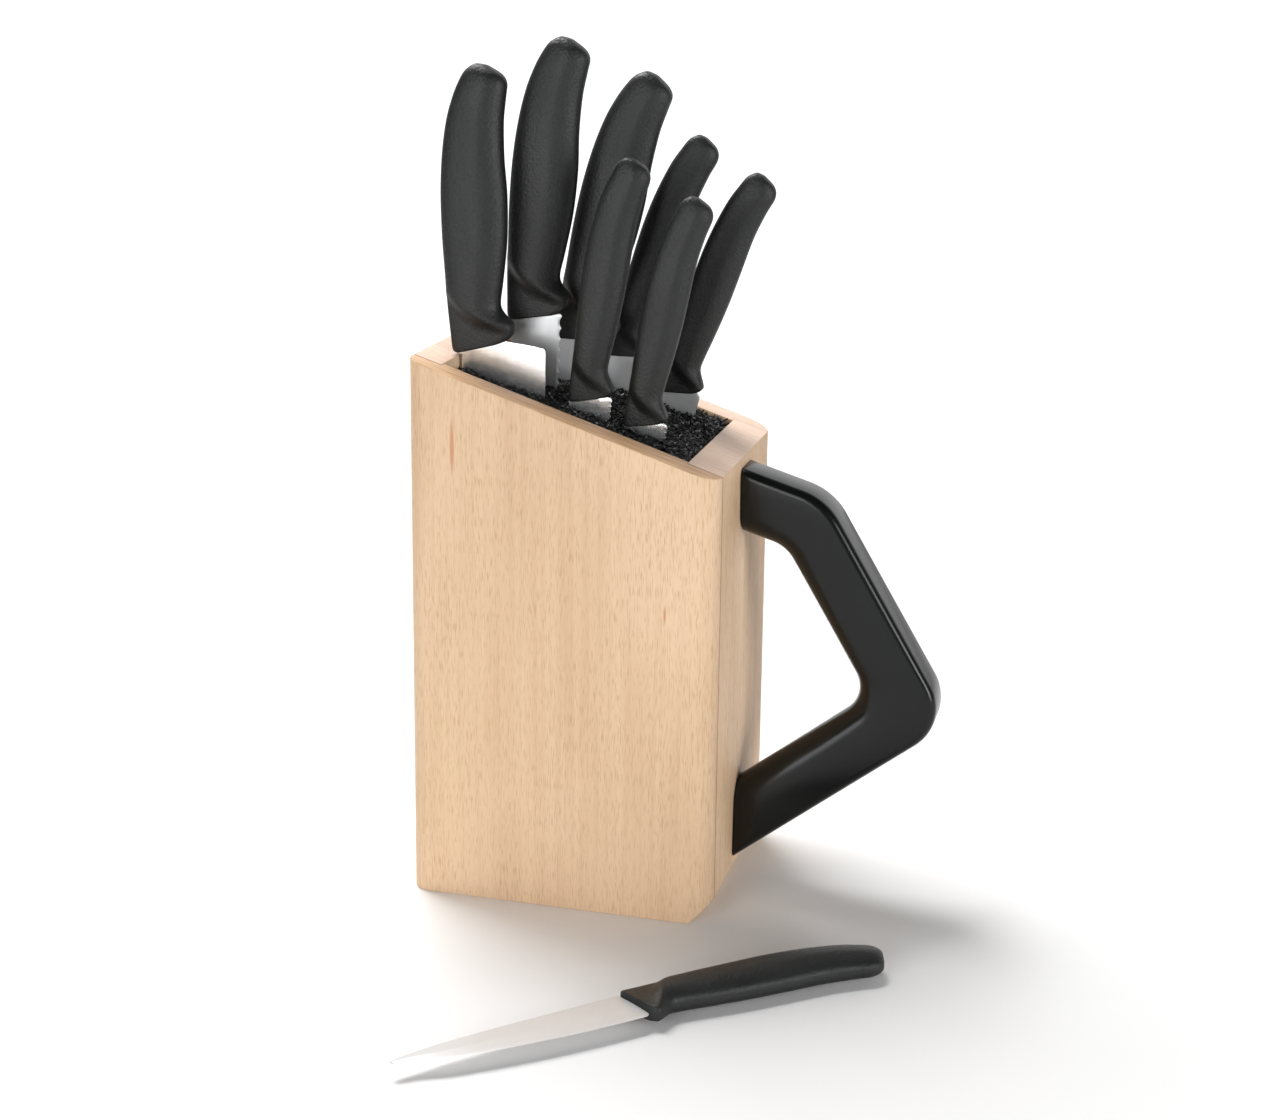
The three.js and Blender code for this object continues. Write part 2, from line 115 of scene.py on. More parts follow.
class KnifeBlockKnives(bpy.types.PropertyGroup):
    """Moulded handles and steel blades."""

    handle: colour_setting(
        "Handle", "Colour of the moulded knife handles", (0.0072, 0.0082, 0.0078)
    )
    steel: colour_setting(
        "Steel", "Colour of the blades", (0.90, 0.91, 0.92)
    )
    step: length_setting(
        "Grip step", "Length over which the thin bolster swells into the grip", 0.002, 0.02, 0.0075
    )


class KnifeBlockGrip(bpy.types.PropertyGroup):
    """Carrying handle."""

    colour: colour_setting(
        "Handle", "Colour of the carrying handle", (0.0032, 0.0042, 0.0038)
    )
    outer_edge: length_setting(
        "Outer edge", "Radius of the two edges beside the flat outer face", 0.001, 0.005, 0.0036
    )
    inner_edge: length_setting(
        "Inner edge", "Radius of the two softer edges on the finger side", 0.002, 0.01, 0.0095
    )


class KnifeBlockBristles(bpy.types.PropertyGroup):
    """Filaments that fill the block's mouth."""

    pitch: length_setting(
        "Pitch", "Distance between neighbouring filaments", 0.0006, 0.004, 0.00115
    )
    thickness: length_setting(
        "Thickness", "Thickness of one filament", 0.0002, 0.001, 0.00078
    )
    seed: bpy.props.IntProperty(
        name="Seed",
        description="Start of the filaments' random order",
        min=0,
        default=7,
    )


class KnifeBlockStage(bpy.types.PropertyGroup):
    """Floor, lights and camera."""

    lens: bpy.props.FloatProperty(
        name="Lens",
        description="Focal length of the camera",
        subtype="DISTANCE_CAMERA",
        unit="CAMERA",
        min=20.0,
        max=200.0,
        default=61.83,
    )
    heading: angle_setting(
        "Heading", "How far the camera stands round towards the carrying handle", 15.011
    )
    pitch: angle_setting("Pitch", "How far the camera looks down", 13.2)
    roll: angle_setting("Roll", "Turn of the camera about its line of sight", 0.676)


# ------------------------------------------------------------------ shapes shared by the knives

# Each section of a handle: (across, along) on the spine side, the same on the cutting side, and half
# the thickness. Millimetres, from the spine corner upwards.
LARGE_HANDLE = (
    ((1.6, 0.2), (20.6, 3.0), 4.1),
    ((0.3, 1.1), (23.8, 4.3), 4.4),
    ((-0.2, 2.6), (25.8, 5.9), 4.5),
    ((-0.3, 5), (26.8, 7.8), 4.6),
    ((-0.3, 10), (26.9, 11.4), 4.8),
    ((-0.3, 16), (23.3, 15.8), 5.8),
    ((-0.2, 23), (22.3, 20), 7),
    ((0.2, 34), (24.4, 29), 8),
    ((0.7, 50), (28, 46), 8.4),
    ((2.1, 68), (30, 64), 8.5),
    ((4.6, 84), (30.4, 80), 8.5),
    ((8, 97.5), (31.8, 95), 8.3),
    ((11.8, 107), (33.9, 105), 8),
    ((15.3, 113.4), (35, 110.5), 7.3),
    ((18.2, 117.2), (33.4, 114), 6.2),
    ((21.4, 119.2), (28.6, 117.6), 4),
    ((22.8, 119.6), (27.0, 118.6), 2.2),
)
SMALL_HANDLE = (
    ((1.2, 0.6), (15.8, 3.03), 3.3),
    ((0.25, 1.3), (17.9, 4.0), 3.6),
    ((0.15, 2.6), (19.1, 5.3), 3.65),
    ((0.4, 5), (19.2, 6.4), 3.7),
    ((0.9, 9.5), (18, 9.6), 3.9),
    ((1.5, 15), (16.5, 13.8), 4.8),
    ((2.3, 22), (17.3, 19), 5.7),
    ((3.4, 34), (20.2, 31), 6.3),
    ((4.9, 48), (23.2, 45), 6.5),
    ((6.9, 62), (25.7, 60), 6.5),
    ((9.9, 75.5), (28.1, 75), 6.4),
    ((14, 88.5), (31.2, 86.5), 6.1),
    ((17.6, 96.2), (33.8, 94), 5.6),
    ((20.2, 100.8), (32.8, 98.6), 4.7),
    ((23, 103), (28.6, 101.8), 3.2),
    ((24.2, 103.3), (27.4, 102.6), 1.8),
)
# Spine end and cutting end of the curved step between bolster and grip, measured along the
# handle, with the bolster's and the grip's half thickness.
LARGE_STEP = (27.0, 10.0, 4.4, 8.5)
SMALL_STEP = (20.0, 7.5, 3.6, 6.5)
HANDLES = {"large": (LARGE_HANDLE, LARGE_STEP), "small": (SMALL_HANDLE, SMALL_STEP)}

# Edge of a blade at shares of its length, across from the spine's line, and how far the spine
# has come in there. Both meet at the tip.
PROFILES = {
    "chef": (
        (0, 36.8, 0), (0.5, 35.4, 0), (0.72, 31, 0), (0.88, 20, 1),
        (0.97, 8.4, 3), (1, 4.6, 4.6),
    ),
    "bread": (
        (0, 22.6, 0), (0.15, 21.4, 0), (0.6, 20.4, 0), (0.86, 18.6, 0.2),
        (0.96, 13.6, 1.4), (1, 5.4, 5.4),
    ),
    "carving": (
        (0, 22, 0), (0.4, 21.4, 0), (0.7, 18.6, 0.3), (0.88, 12.4, 1.2),
        (0.97, 6, 2.6), (1, 3.6, 3.6),
    ),
    "paring": (
        (0, 18.6, 0), (0.3, 17.6, 0), (0.55, 15, 0.1), (0.8, 11, 0.8),
        (0.94, 6.4, 2.4), (1, 3.8, 3.8),
    ),
    "rounded": (
        (0, 18.6, 0), (0.3, 17.4, 0), (0.7, 15.6, 0), (0.9, 14, 0.6),
        (0.97, 10.4, 2.4), (1, 6.4, 6.4),
    ),
}

# Each knife's handle family, blade profile, lean of handle and blade in degrees, scale of the handle,
# inset of the blade from the spine corner, and its teeth (pitch, depth).
Knife = namedtuple("Knife", "family profile handle_lean blade_lean scale inset teeth")
KNIVES = {
    "chef_knife": Knife("large", "chef", -6.1, 0.0, 1.0, 3.3, None),
    "bread_knife": Knife("large", "bread", 0.0, 0.0, 1.0, 0.8, (4.7, 0.9)),
    "carving_knife": Knife("large", "carving", 8.0, 8.0, 1.0, 0.8, None),
    "tomato_knife": Knife("small", "rounded", 0.0, 3.5, 1.0, 0.0, (2.1, 0.45)),
    "utility_knife": Knife("small", "paring", 2.6, 6.3, 0.955, 0.0, (2.1, 0.45)),
    "vegetable_knife": Knife("small", "paring", 9.5, 13.0, 1.0, 0.0, None),
    "peeling_knife": Knife("small", "paring", 10.2, 13.7, 1.0, 0.0, None),
    "paring_knife": Knife("small", "paring", -3.5, 0.0, 1.055, 0.0, None),
}
# The loose knife lies flat, turned this far from the block's length, and its blade is seen whole.
SPARE = "paring_knife"
SPARE_HEADING = 45.0
SPARE_BLADE_LENGTH = 97.0

# Blades, millimetres: half the thickness, where the rise along the handle's underside ends, radius of
# the heel, height of the shoulder, and how fast the heel falls away beyond the rise.
BLADE_HALF = {"large": 1.1, "small": 0.75}
RISE_END = {"large": 24.0, "small": 17.0}
HEEL_RADIUS = 1.6
SHOULDER = 0.25
HEEL_FALL = 0.16
# Share of the width at which the grind starts.
GRIND_FROM = {"chef": 0.55, "carving": 0.55, "paring": 0.55, "bread": 0.72, "rounded": 0.72}
# Finish of each blade: roughness, share of the steel's colour, mirror share, depth of the fine lines.
SATIN = (0.20, 1.0, 0.6, 0.3)
POLISHED = (0.20, 1.0, 0.9, 0.3)
BLADE_FINISH = {
    "chef_knife": POLISHED,
    "bread_knife": (0.34, 0.82, 0.6, 0.3),
    "carving_knife": SATIN,
    "tomato_knife": POLISHED,
    "utility_knife": POLISHED,
    "vegetable_knife": SATIN,
    "peeling_knife": SATIN,
    "paring_knife": (0.34, 0.78, 0.25, 0.08),
}


def along_curve(points, t):
    """Point at share t of a smooth curve through the points."""
    last = len(points) - 1
    place = min(max(t, 0.0), 1.0) * last
    i = min(int(place), last - 1)
    w = place - i
    p0, p1 = points[max(i - 1, 0)], points[i]
    p2, p3 = points[i + 1], points[min(i + 2, last)]
    out = []
    for a, b, c, d in zip(p0, p1, p2, p3):
        v0, v1 = (c - a) * 0.5, (d - b) * 0.5
        cubic = (2 * b - 2 * c + v0 + v1) * w**3
        square = (-3 * b + 3 * c - 2 * v0 - v1) * w**2
        out.append(cubic + square + v0 * w + b)
    return out


def smooth(value):
    """Eased step from 0 to 1."""
    value = min(max(value, 0.0), 1.0)
    return value * value * (3 - 2 * value)


# ------------------------------------------------------------------ modelling helpers


def deselect_all():
    """Leaves nothing selected and no active object."""
    if bpy.context.object and bpy.context.object.mode != "OBJECT":
        bpy.ops.object.mode_set(mode="OBJECT")
    bpy.ops.object.select_all(action="DESELECT")


def take(piece):
    """Makes the piece the only selected object."""
    deselect_all()
    piece.select_set(True)
    bpy.context.view_layer.objects.active = piece


def name_piece(name):
    """Names the object that an operator has just added."""
    piece = bpy.context.object
    piece.name = name
    piece.data.name = name
    return piece


def place_cap(ring):
    """Puts the corners of the selected face on the ring's points."""
    work = bmesh.from_edit_mesh(bpy.context.object.data)
    cap = next(face for face in work.faces if face.select)
    for corner, point in zip(cap.verts, ring):
        corner.co = point
    bmesh.update_edit_mesh(bpy.context.object.data)


def loft(name, rings):
    """Extrudes one face from ring to ring into a closed solid."""
    deselect_all()
    bpy.ops.mesh.primitive_circle_add(vertices=len(rings[0]), radius=0.01, fill_type="NGON")
    piece = name_piece(name)
    bpy.ops.object.mode_set(mode="EDIT")
    bpy.ops.mesh.select_mode(type="FACE")
    bpy.ops.mesh.select_all(action="SELECT")
    place_cap(rings[0])
    for ring in rings[1:]:
        bpy.ops.mesh.extrude_region_move()
        place_cap(ring)
    bpy.ops.mesh.select_all(action="SELECT")
    bpy.ops.mesh.normals_make_consistent(inside=False)
    bpy.ops.object.mode_set(mode="OBJECT")
    return piece


def add_modifier(piece, kind, **values):
    """Adds a modifier and applies it."""
    take(piece)
    made = piece.modifiers.new(kind.title(), kind)
    for key, value in values.items():
        setattr(made, key, value)
    bpy.ops.object.modifier_apply(modifier=made.name)


def round_edges(piece, width, segments, degrees):
    """Bevels the edges where faces turn further than the angle."""
    add_modifier(piece, "BEVEL", width=width, segments=segments, limit_method="ANGLE",
                 angle_limit=math.radians(degrees))


def shade(piece, degrees):
    """Shades the piece smooth, with sharp edges kept where faces turn further than that."""
    take(piece)
    bpy.ops.object.shade_smooth_by_angle(angle=math.radians(degrees))


def coat(piece, material):
    """Makes the material the piece's only one."""
    piece.data.materials.clear()
    piece.data.materials.append(material)


def finish_piece(piece, body, slot, material, *nodes):
    """Gives a piece its material, its body and the CAD nodes it stands for."""
    coat(piece, material)
    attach(piece, body)
    if nodes:
        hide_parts(*nodes)


def merged_copy(node, name):
    """A copy of a CAD node with its loose triangles merged into clean faces."""
    deselect_all()
    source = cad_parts[node]
    piece = bpy.data.objects.new(name, source.data.copy())
    piece.data.name = name
    bpy.context.scene.collection.objects.link(piece)
    take(piece)
    bpy.ops.object.mode_set(mode="EDIT")
    bpy.ops.mesh.select_mode(type="VERT")
    bpy.ops.mesh.select_all(action="SELECT")
    bpy.ops.mesh.remove_doubles(threshold=0.00001)
    bpy.ops.mesh.dissolve_limited(angle_limit=math.radians(0.8))
    bpy.ops.mesh.select_all(action="DESELECT")
    bpy.ops.object.mode_set(mode="OBJECT")
    return piece


# ------------------------------------------------------------------ materials


def new_material(name):
    """A material with a Principled shader, ready to be wired."""
    material = bpy.data.materials.new(name)
    material.use_nodes = True
    tree = material.node_tree
    shader = tree.nodes["Principled BSDF"]
    return material, tree, shader


def add_node(tree, kind, **values):
    """Adds a node; values are properties, or input defaults when the name is an input's."""
    node = tree.nodes.new(kind)
    for key, value in values.items():
        if key.startswith("in_"):
            node.inputs[key[3:].replace("_", " ")].default_value = value
        else:
            setattr(node, key, value)
    return node


def stretched(tree, scale, source=None, turn=(0, 0, 0)):
    """Object coordinates, scaled differently along each axis."""
    if source is None:
        source = tree.nodes.new("ShaderNodeTexCoord").outputs["Object"]
    mapping = tree.nodes.new("ShaderNodeMapping")
    mapping.inputs["Scale"].default_value = scale
    mapping.inputs["Rotation"].default_value = turn
    tree.links.new(source, mapping.inputs["Vector"])
    return mapping.outputs["Vector"]


def along_axis(tree, vector, axis):
    """One of a vector's three values."""
    apart = tree.nodes.new("ShaderNodeSeparateXYZ")
    tree.links.new(vector, apart.inputs["Vector"])
    return apart.outputs[axis]


def noise(tree, vector, detail=3.0, roughness=0.55, distortion=0.0):
    """Noise at unit scale on the vector."""
    node = add_node(tree, "ShaderNodeTexNoise", in_Scale=1.0, in_Detail=detail,
                    in_Roughness=roughness, in_Distortion=distortion)
    tree.links.new(vector, node.inputs["Vector"])
    return node.outputs["Fac"]


def between(tree, value, low, high, to_low=0.0, to_high=1.0):
    """Maps low..high of a value to another range, clamped."""
    node = tree.nodes.new("ShaderNodeMapRange")
    node.inputs["From Min"].default_value = low
    node.inputs["From Max"].default_value = high
    node.inputs["To Min"].default_value = to_low
    node.inputs["To Max"].default_value = to_high
    tree.links.new(value, node.inputs["Value"])
    return node.outputs["Result"]


def mixed(tree, share, first, second):
    """Mix of two colours; each is a colour or a socket."""
    node = add_node(tree, "ShaderNodeMix", data_type="RGBA")
    tree.links.new(share, node.inputs["Factor"])
    for value, socket in ((first, node.inputs[6]), (second, node.inputs[7])):
        if isinstance(value, bpy.types.NodeSocket):
            tree.links.new(value, socket)
        else:
            socket.default_value = (*value[:3], 1.0)
    return node.outputs[2]


def reckon(tree, how, first, second=None):
    """One arithmetic step on sockets or numbers."""
    node = add_node(tree, "ShaderNodeMath", operation=how)
    for value, socket in ((first, node.inputs[0]), (second, node.inputs[1])):
        if isinstance(value, bpy.types.NodeSocket):
            tree.links.new(value, socket)
        elif value is not None:
            socket.default_value = value
    return node.outputs[0]


def bump(tree, shader, height, distance, strength=1.0):
    """Feeds a height into the shader's normal."""
    node = add_node(tree, "ShaderNodeBump", in_Strength=strength, in_Distance=distance)
    tree.links.new(height, node.inputs["Height"])
    tree.links.new(node.outputs["Normal"], shader.inputs["Normal"])


def weighed(tree, first, first_weight, second, second_weight):
    """Weighted sum of two values."""
    one = reckon(tree, "MULTIPLY", first, first_weight)
    other = reckon(tree, "MULTIPLY", second, second_weight)
    return reckon(tree, "ADD", one, other)


def new_group(name, inputs, outputs):
    """An empty node group with named sockets of the given kinds, and its two end nodes."""
    group = bpy.data.node_groups.new(name, "ShaderNodeTree")
    for way, sockets in (("INPUT", inputs), ("OUTPUT", outputs)):
        for label, kind in sockets:
            group.interface.new_socket(label, in_out=way, socket_type="NodeSocket" + kind)
    return group, group.nodes.new("NodeGroupInput"), group.nodes.new("NodeGroupOutput")


def beech_group():
    """Node group: beech figure along the local Z axis of its vector."""
    found = bpy.data.node_groups.get("beech_figure")
    if found:
        return found
    group, start, end = new_group(
        "beech_figure",
        (("Vector", "Vector"), ("Plain", "Color"), ("Streak", "Color"), ("Fleck", "Color"),
         ("Fleck amount", "Float")),
        (("Color", "Color"), ("Roughness", "Float"), ("Height", "Float")),
    )
    vector = start.outputs["Vector"]
    broad = noise(group, stretched(group, (34, 34, 2.2), vector), 2.0, 0.5, 0.6)
    fine = noise(group, stretched(group, (420, 420, 9), vector), 3.0, 0.6, 0.2)
    cloud = noise(group, stretched(group, (14, 14, 9), vector), 2.0, 0.5)
    dash = noise(group, stretched(group, (2100, 2100, 170), vector), 1.5, 0.5)
    thinly = noise(group, stretched(group, (60, 60, 22), vector), 2.0, 0.5)
    pore = noise(group, stretched(group, (2600, 2600, 420), vector), 1.0, 0.5)
    soft = between(group, broad, 0.36, 0.68)
    lines = between(group, fine, 0.42, 0.68)
    share = weighed(group, soft, 0.42, lines, 0.40)
    colour = mixed(group, share, start.outputs["Plain"], start.outputs["Streak"])
    paler = mixed(group, between(group, cloud, 0.5, 0.75, 0.0, 0.35), colour, (0.89, 0.67, 0.47))
    crowd = between(group, thinly, 0.35, 0.6, 0.55, 1.0)
    flecks = reckon(group, "MULTIPLY", between(group, dash, 0.52, 0.66), crowd)
    strength = reckon(group, "MULTIPLY", flecks, start.outputs["Fleck amount"])
    out = mixed(group, strength, paler, start.outputs["Fleck"])
    group.links.new(out, end.inputs["Color"])
    rough = between(group, fine, 0.3, 0.7, 0.46, 0.60)
    group.links.new(rough, end.inputs["Roughness"])
    pits = reckon(group, "ADD", flecks, between(group, pore, 0.6, 0.75, 0.0, 0.5))
    height = reckon(group, "SUBTRACT", reckon(group, "MULTIPLY", lines, 0.3), pits)
    group.links.new(height, end.inputs["Height"])
    return group


# Colours of the boards' reddish clouds and long marks, of the painted shade along the grooves where
# boards meet, and
# the two tones of the slanted top edges: most are pale, the near panel's is darker and streaky.
RED_TINT = (0.62, 0.33, 0.20)
MARK_BROWN = (0.56, 0.235, 0.12)
SEAM_GROOVE_SHADE = (0.30, 0.15, 0.08)
PALE_RIM = ((0.90, 0.69, 0.55), (0.78, 0.55, 0.42))
STREAKY_RIM = ((0.82, 0.54, 0.33), (0.50, 0.28, 0.14))


def sliver(tree, vector, x, z, wide, tall, share):
    """Mask of one long thin mark on a wide face, soft at its outline."""
    across = reckon(tree, "DIVIDE", reckon(tree, "SUBTRACT", along_axis(tree, vector, "X"), x), wide)
    along = reckon(tree, "DIVIDE", reckon(tree, "SUBTRACT", along_axis(tree, vector, "Z"), z), tall)
    far = weighed(tree, across, across, along, along)
    return between(tree, far, 0.2, 1.0, share, 0.0)


def beech(name, offset, turn, redder, marks, seam, rim):
    """Oiled beech; offset makes each board's figure its own, and cut ends show pinker end grain."""
    wood = bpy.context.scene.knife_block_wood
    material, tree, shader = new_material(name)
    place = tree.nodes.new("ShaderNodeTexCoord")
    mapping = tree.nodes.new("ShaderNodeMapping")
    mapping.inputs["Location"].default_value = offset
    mapping.inputs["Rotation"].default_value = turn
    tree.links.new(place.outputs["Object"], mapping.inputs["Vector"])
    figure = tree.nodes.new("ShaderNodeGroup")
    figure.node_tree = beech_group()
    tree.links.new(mapping.outputs["Vector"], figure.inputs["Vector"])
    figure.inputs["Plain"].default_value = (*wood.colour, 1.0)
    figure.inputs["Streak"].default_value = (*wood.streak, 1.0)
    figure.inputs["Fleck"].default_value = (*wood.fleck, 1.0)
    figure.inputs["Fleck amount"].default_value = 0.62
    tint = noise(tree, stretched(tree, (9, 9, 1.6), mapping.outputs["Vector"]), 2.0, 0.5)
    red_share = between(tree, tint, 0.62, 0.80, 0.0, 0.30 + redder)
    reddish = mixed(tree, red_share, figure.outputs["Color"], RED_TINT)
    cut = between(tree, along_axis(tree, place.outputs["Normal"], "Z"), 0.55, 0.8)
    rings = noise(tree, stretched(tree, (55, 900, 30)), 3.0, 0.6, 0.4)
    end_grain = mixed(tree, between(tree, rings, 0.35, 0.7), *rim)
    for x, z, wide, tall, share in marks:
        mark = sliver(tree, place.outputs["Object"], x, z, wide, tall, share)
        reddish = mixed(tree, mark, reddish, MARK_BROWN)
    colour = mixed(tree, cut, reddish, end_grain)
    # Painted shade: a dark line along the board's edges where it meets the side panels, standing in for
    # the shade in the groove between them.
    if seam:
        aside = reckon(tree, "ABSOLUTE", along_axis(tree, place.outputs["Object"], "Y"))
        painted_seam_shade = between(tree, aside, seam - 0.0007, seam - 0.0003, 0.0, 0.6)
        colour = mixed(tree, painted_seam_shade, colour, SEAM_GROOVE_SHADE)
    tree.links.new(colour, shader.inputs["Base Color"])
    tree.links.new(figure.outputs["Roughness"], shader.inputs["Roughness"])
    shader.inputs["Specular IOR Level"].default_value = 0.35
    bump(tree, shader, figure.outputs["Height"], 0.00009, 0.55)
    return material


def pebble_group():
    """Node group: fine pebble of moulded plastic, with slight patches of polish."""
    found = bpy.data.node_groups.get("moulded_pebble")
    if found:
        return found
    group, start, end = new_group(
        "moulded_pebble",
        (("Vector", "Vector"), ("Grain", "Float")),
        (("Height", "Float"), ("Patch", "Float")),
    )
    scaled = add_node(group, "ShaderNodeVectorMath", operation="SCALE")
    group.links.new(start.outputs["Vector"], scaled.inputs[0])
    group.links.new(start.outputs["Grain"], scaled.inputs["Scale"])
    fine = noise(group, scaled.outputs["Vector"], 3.0, 0.65)
    cell = add_node(group, "ShaderNodeTexVoronoi", in_Scale=0.62)
    group.links.new(scaled.outputs["Vector"], cell.inputs["Vector"])
    group.links.new(weighed(group, fine, 0.7, cell.outputs["Distance"], 0.5), end.inputs["Height"])
    patch = noise(group, stretched(group, (70, 70, 34), start.outputs["Vector"]), 3.0, 0.55)
    group.links.new(patch, end.inputs["Patch"])
    return group


def moulded(name, colour, rough, grain, depth, spread=0.10, gloss=0.45, lift=1.35):
    """Black moulded plastic with fine pebble and slight changes in polish."""
    material, tree, shader = new_material(name)
    place = tree.nodes.new("ShaderNodeTexCoord")
    pebble = tree.nodes.new("ShaderNodeGroup")
    pebble.node_tree = pebble_group()
    tree.links.new(place.outputs["Object"], pebble.inputs["Vector"])
    pebble.inputs["Grain"].default_value = grain
    tone = between(tree, pebble.outputs["Patch"], 0.35, 0.7)
    paler = tuple(min(1.0, c * lift) for c in colour)
    tree.links.new(mixed(tree, tone, colour, paler), shader.inputs["Base Color"])
    polish = between(tree, pebble.outputs["Patch"], 0.3, 0.7, rough - spread / 2, rough + spread / 2)
    tree.links.new(polish, shader.inputs["Roughness"])
    shader.inputs["Specular IOR Level"].default_value = gloss
    bump(tree, shader, pebble.outputs["Height"], depth)
    return material


def steel(name, turn, rough, darker, mirror=1.0, grain=0.3):
    """Ground steel with fine lines across the blade."""
    knives = bpy.context.scene.knife_block_knives
    material, tree, shader = new_material(name)
    laid = stretched(tree, (1, 1, 1), turn=turn)
    lines = noise(tree, stretched(tree, (90, 90, 5200), laid), 2.0, 0.6)
    soft = noise(tree, stretched(tree, (38, 38, 60), laid), 3.0, 0.55)
    base = tuple(c * darker for c in knives.steel)
    low = tuple(c * 0.94 for c in base)
    tone = weighed(tree, between(tree, lines, 0.35, 0.65), 0.5, between(tree, soft, 0.35, 0.65), 0.5)
    tree.links.new(mixed(tree, tone, low, base), shader.inputs["Base Color"])
    shader.inputs["Metallic"].default_value = mirror
    polish = between(tree, lines, 0.3, 0.7, rough - 0.05, rough + 0.07)
    tree.links.new(polish, shader.inputs["Roughness"])
    bump(tree, shader, lines, 0.000003, grain)
    return material


def bristle_black(name):
    """Black filaments with a faint sheen."""
    material, tree, shader = new_material(name)
    tone = noise(tree, stretched(tree, (900, 900, 900)), 2.0, 0.5)
    deep, worn = (0.0015, 0.0018, 0.0016), (0.0125, 0.0135, 0.0128)
    tree.links.new(mixed(tree, between(tree, tone, 0.35, 0.7), deep, worn), shader.inputs["Base Color"])
    tree.links.new(between(tree, tone, 0.3, 0.7, 0.28, 0.5), shader.inputs["Roughness"])
    fine = noise(tree, stretched(tree, (4200, 4200, 4200)), 1.0, 0.5)
    bump(tree, shader, fine, 0.00003, 0.5)
    return material


# ------------------------------------------------------------------ boards


class OBJECT_OT_knife_block_boards(bpy.types.Operator):
    """Five beech boards with sanded edges and their own figure"""

    bl_idname = "object.knife_block_boards"
    bl_label = "Boards"

    def execute(self, context):
        edge = context.scene.knife_block_wood.edge
        # Long marks on the near face: x, z, half width, half height, strength.
        marks = ((-0.046, 0.199, 0.0011, 0.014, 0.75), (0.0455, 0.135, 0.0006, 0.0042, 0.8))
        # Offset and turn of the figure, extra redness, marks, seam's place aside, tones of the rim.
        boards = {
            "near_side_panel": ((0.31, 0.02, 0.4), (0, 0, 0), 0.12, marks, 0.0, STREAKY_RIM),
            "far_side_panel": ((0.77, 0.35, 0.1), (0, 0, 0), 0.0, (), 0.0, PALE_RIM),
            "front_board": ((0.15, 0.63, 0.7), (0, 0, 0), 0.40, (), FRONT[1].y, PALE_RIM),
            "rear_board": ((0.52, 0.91, 0.2), (0, 0, 0), 0.0, (), REAR[1].y, PALE_RIM),
            "base_board": ((0.05, 0.27, 0.9), (0, math.radians(90), 0), 0.0, (), 0.0, PALE_RIM),
        }
        for node, figure in boards.items():
            piece = merged_copy(node, node + "_wood")
            round_edges(piece, edge, 3, 40)
            shade(piece, 30)
            finish_piece(piece, "block", "beech", beech("beech_" + node, *figure), node)
        return {"FINISHED"}


# ------------------------------------------------------------------ carrying handle


# Carrying handle, millimetres: top of its upper foot, foot of its lower one, thickness, how far the
# shoulder stands out and below the top, where the tip is, and the radii of its two bends.
GRIP_TOP = 187.6
GRIP_FOOT = 12.5
GRIP_THICK = 27.3
GRIP_SHOULDER = (36.7, 11)
GRIP_TIP = (92.3, 83.9)
OUTER_BENDS = (28, 21)
INNER_BENDS = (16, 14)
# The inner face is narrower than the outer one by this much on each side.
INNER_NARROWER = 0.6
BEND_STEPS = 14
STRAIGHT_STEPS = 6
EDGE_STEPS = 5


def rounded_line(corners):
    """Points along an open line of (x, z, radius) corners: straights with arcs between them."""
    points = []
    for i, (x, z, radius) in enumerate(corners):
        here = Vector((x, z))
        if not radius:
            points.append([here])
            continue
        back = (Vector(corners[i - 1][:2]) - here).normalized()
        ahead = (Vector(corners[i + 1][:2]) - here).normalized()
        half = back.angle(ahead) / 2
        centre = here + (back + ahead).normalized() * radius / math.sin(half)
        start = here + back * radius / math.tan(half) - centre
        end = here + ahead * radius / math.tan(half) - centre
        turn = start.angle_signed(end)
        arc = []
        for k in range(BEND_STEPS + 1):
            c, s = math.cos(-turn * k / BEND_STEPS), math.sin(-turn * k / BEND_STEPS)
            arc.append(centre + Vector((start.x * c - start.y * s, start.x * s + start.y * c)))
        points.append(arc)
    line = []
    for first, second in zip(points[:-1], points[1:]):
        line += first
        line += [first[-1].lerp(second[0], k / STRAIGHT_STEPS) for k in range(1, STRAIGHT_STEPS)]
    return line + points[-1]


def grip_section(half_width, outer, inner):
    """Closed outline of the handle's section: the face it is measured from, offset, across."""
    outer_flat = half_width - outer
    inner_flat = half_width - INNER_NARROWER - inner
    turns = [math.pi / 2 * k / EDGE_STEPS for k in range(EDGE_STEPS + 1)]
    outline = []
    for side in (1, -1):
        corner = []
        for a in turns:
            across = side * (outer_flat + outer * math.sin(a))
            corner.append(("outer", outer - outer * math.cos(a), across))
        for a in turns:
            across = side * (inner_flat + inner * math.cos(a))
            corner.append(("inner", inner - inner * math.sin(a), across))
        outline += corner if side > 0 else corner[::-1]
    return outline


def meeting(p, u, q, v):
    """Point where the line through p along u meets the line through q along v."""
    return p + u * ((q - p).cross(v) / u.cross(v))


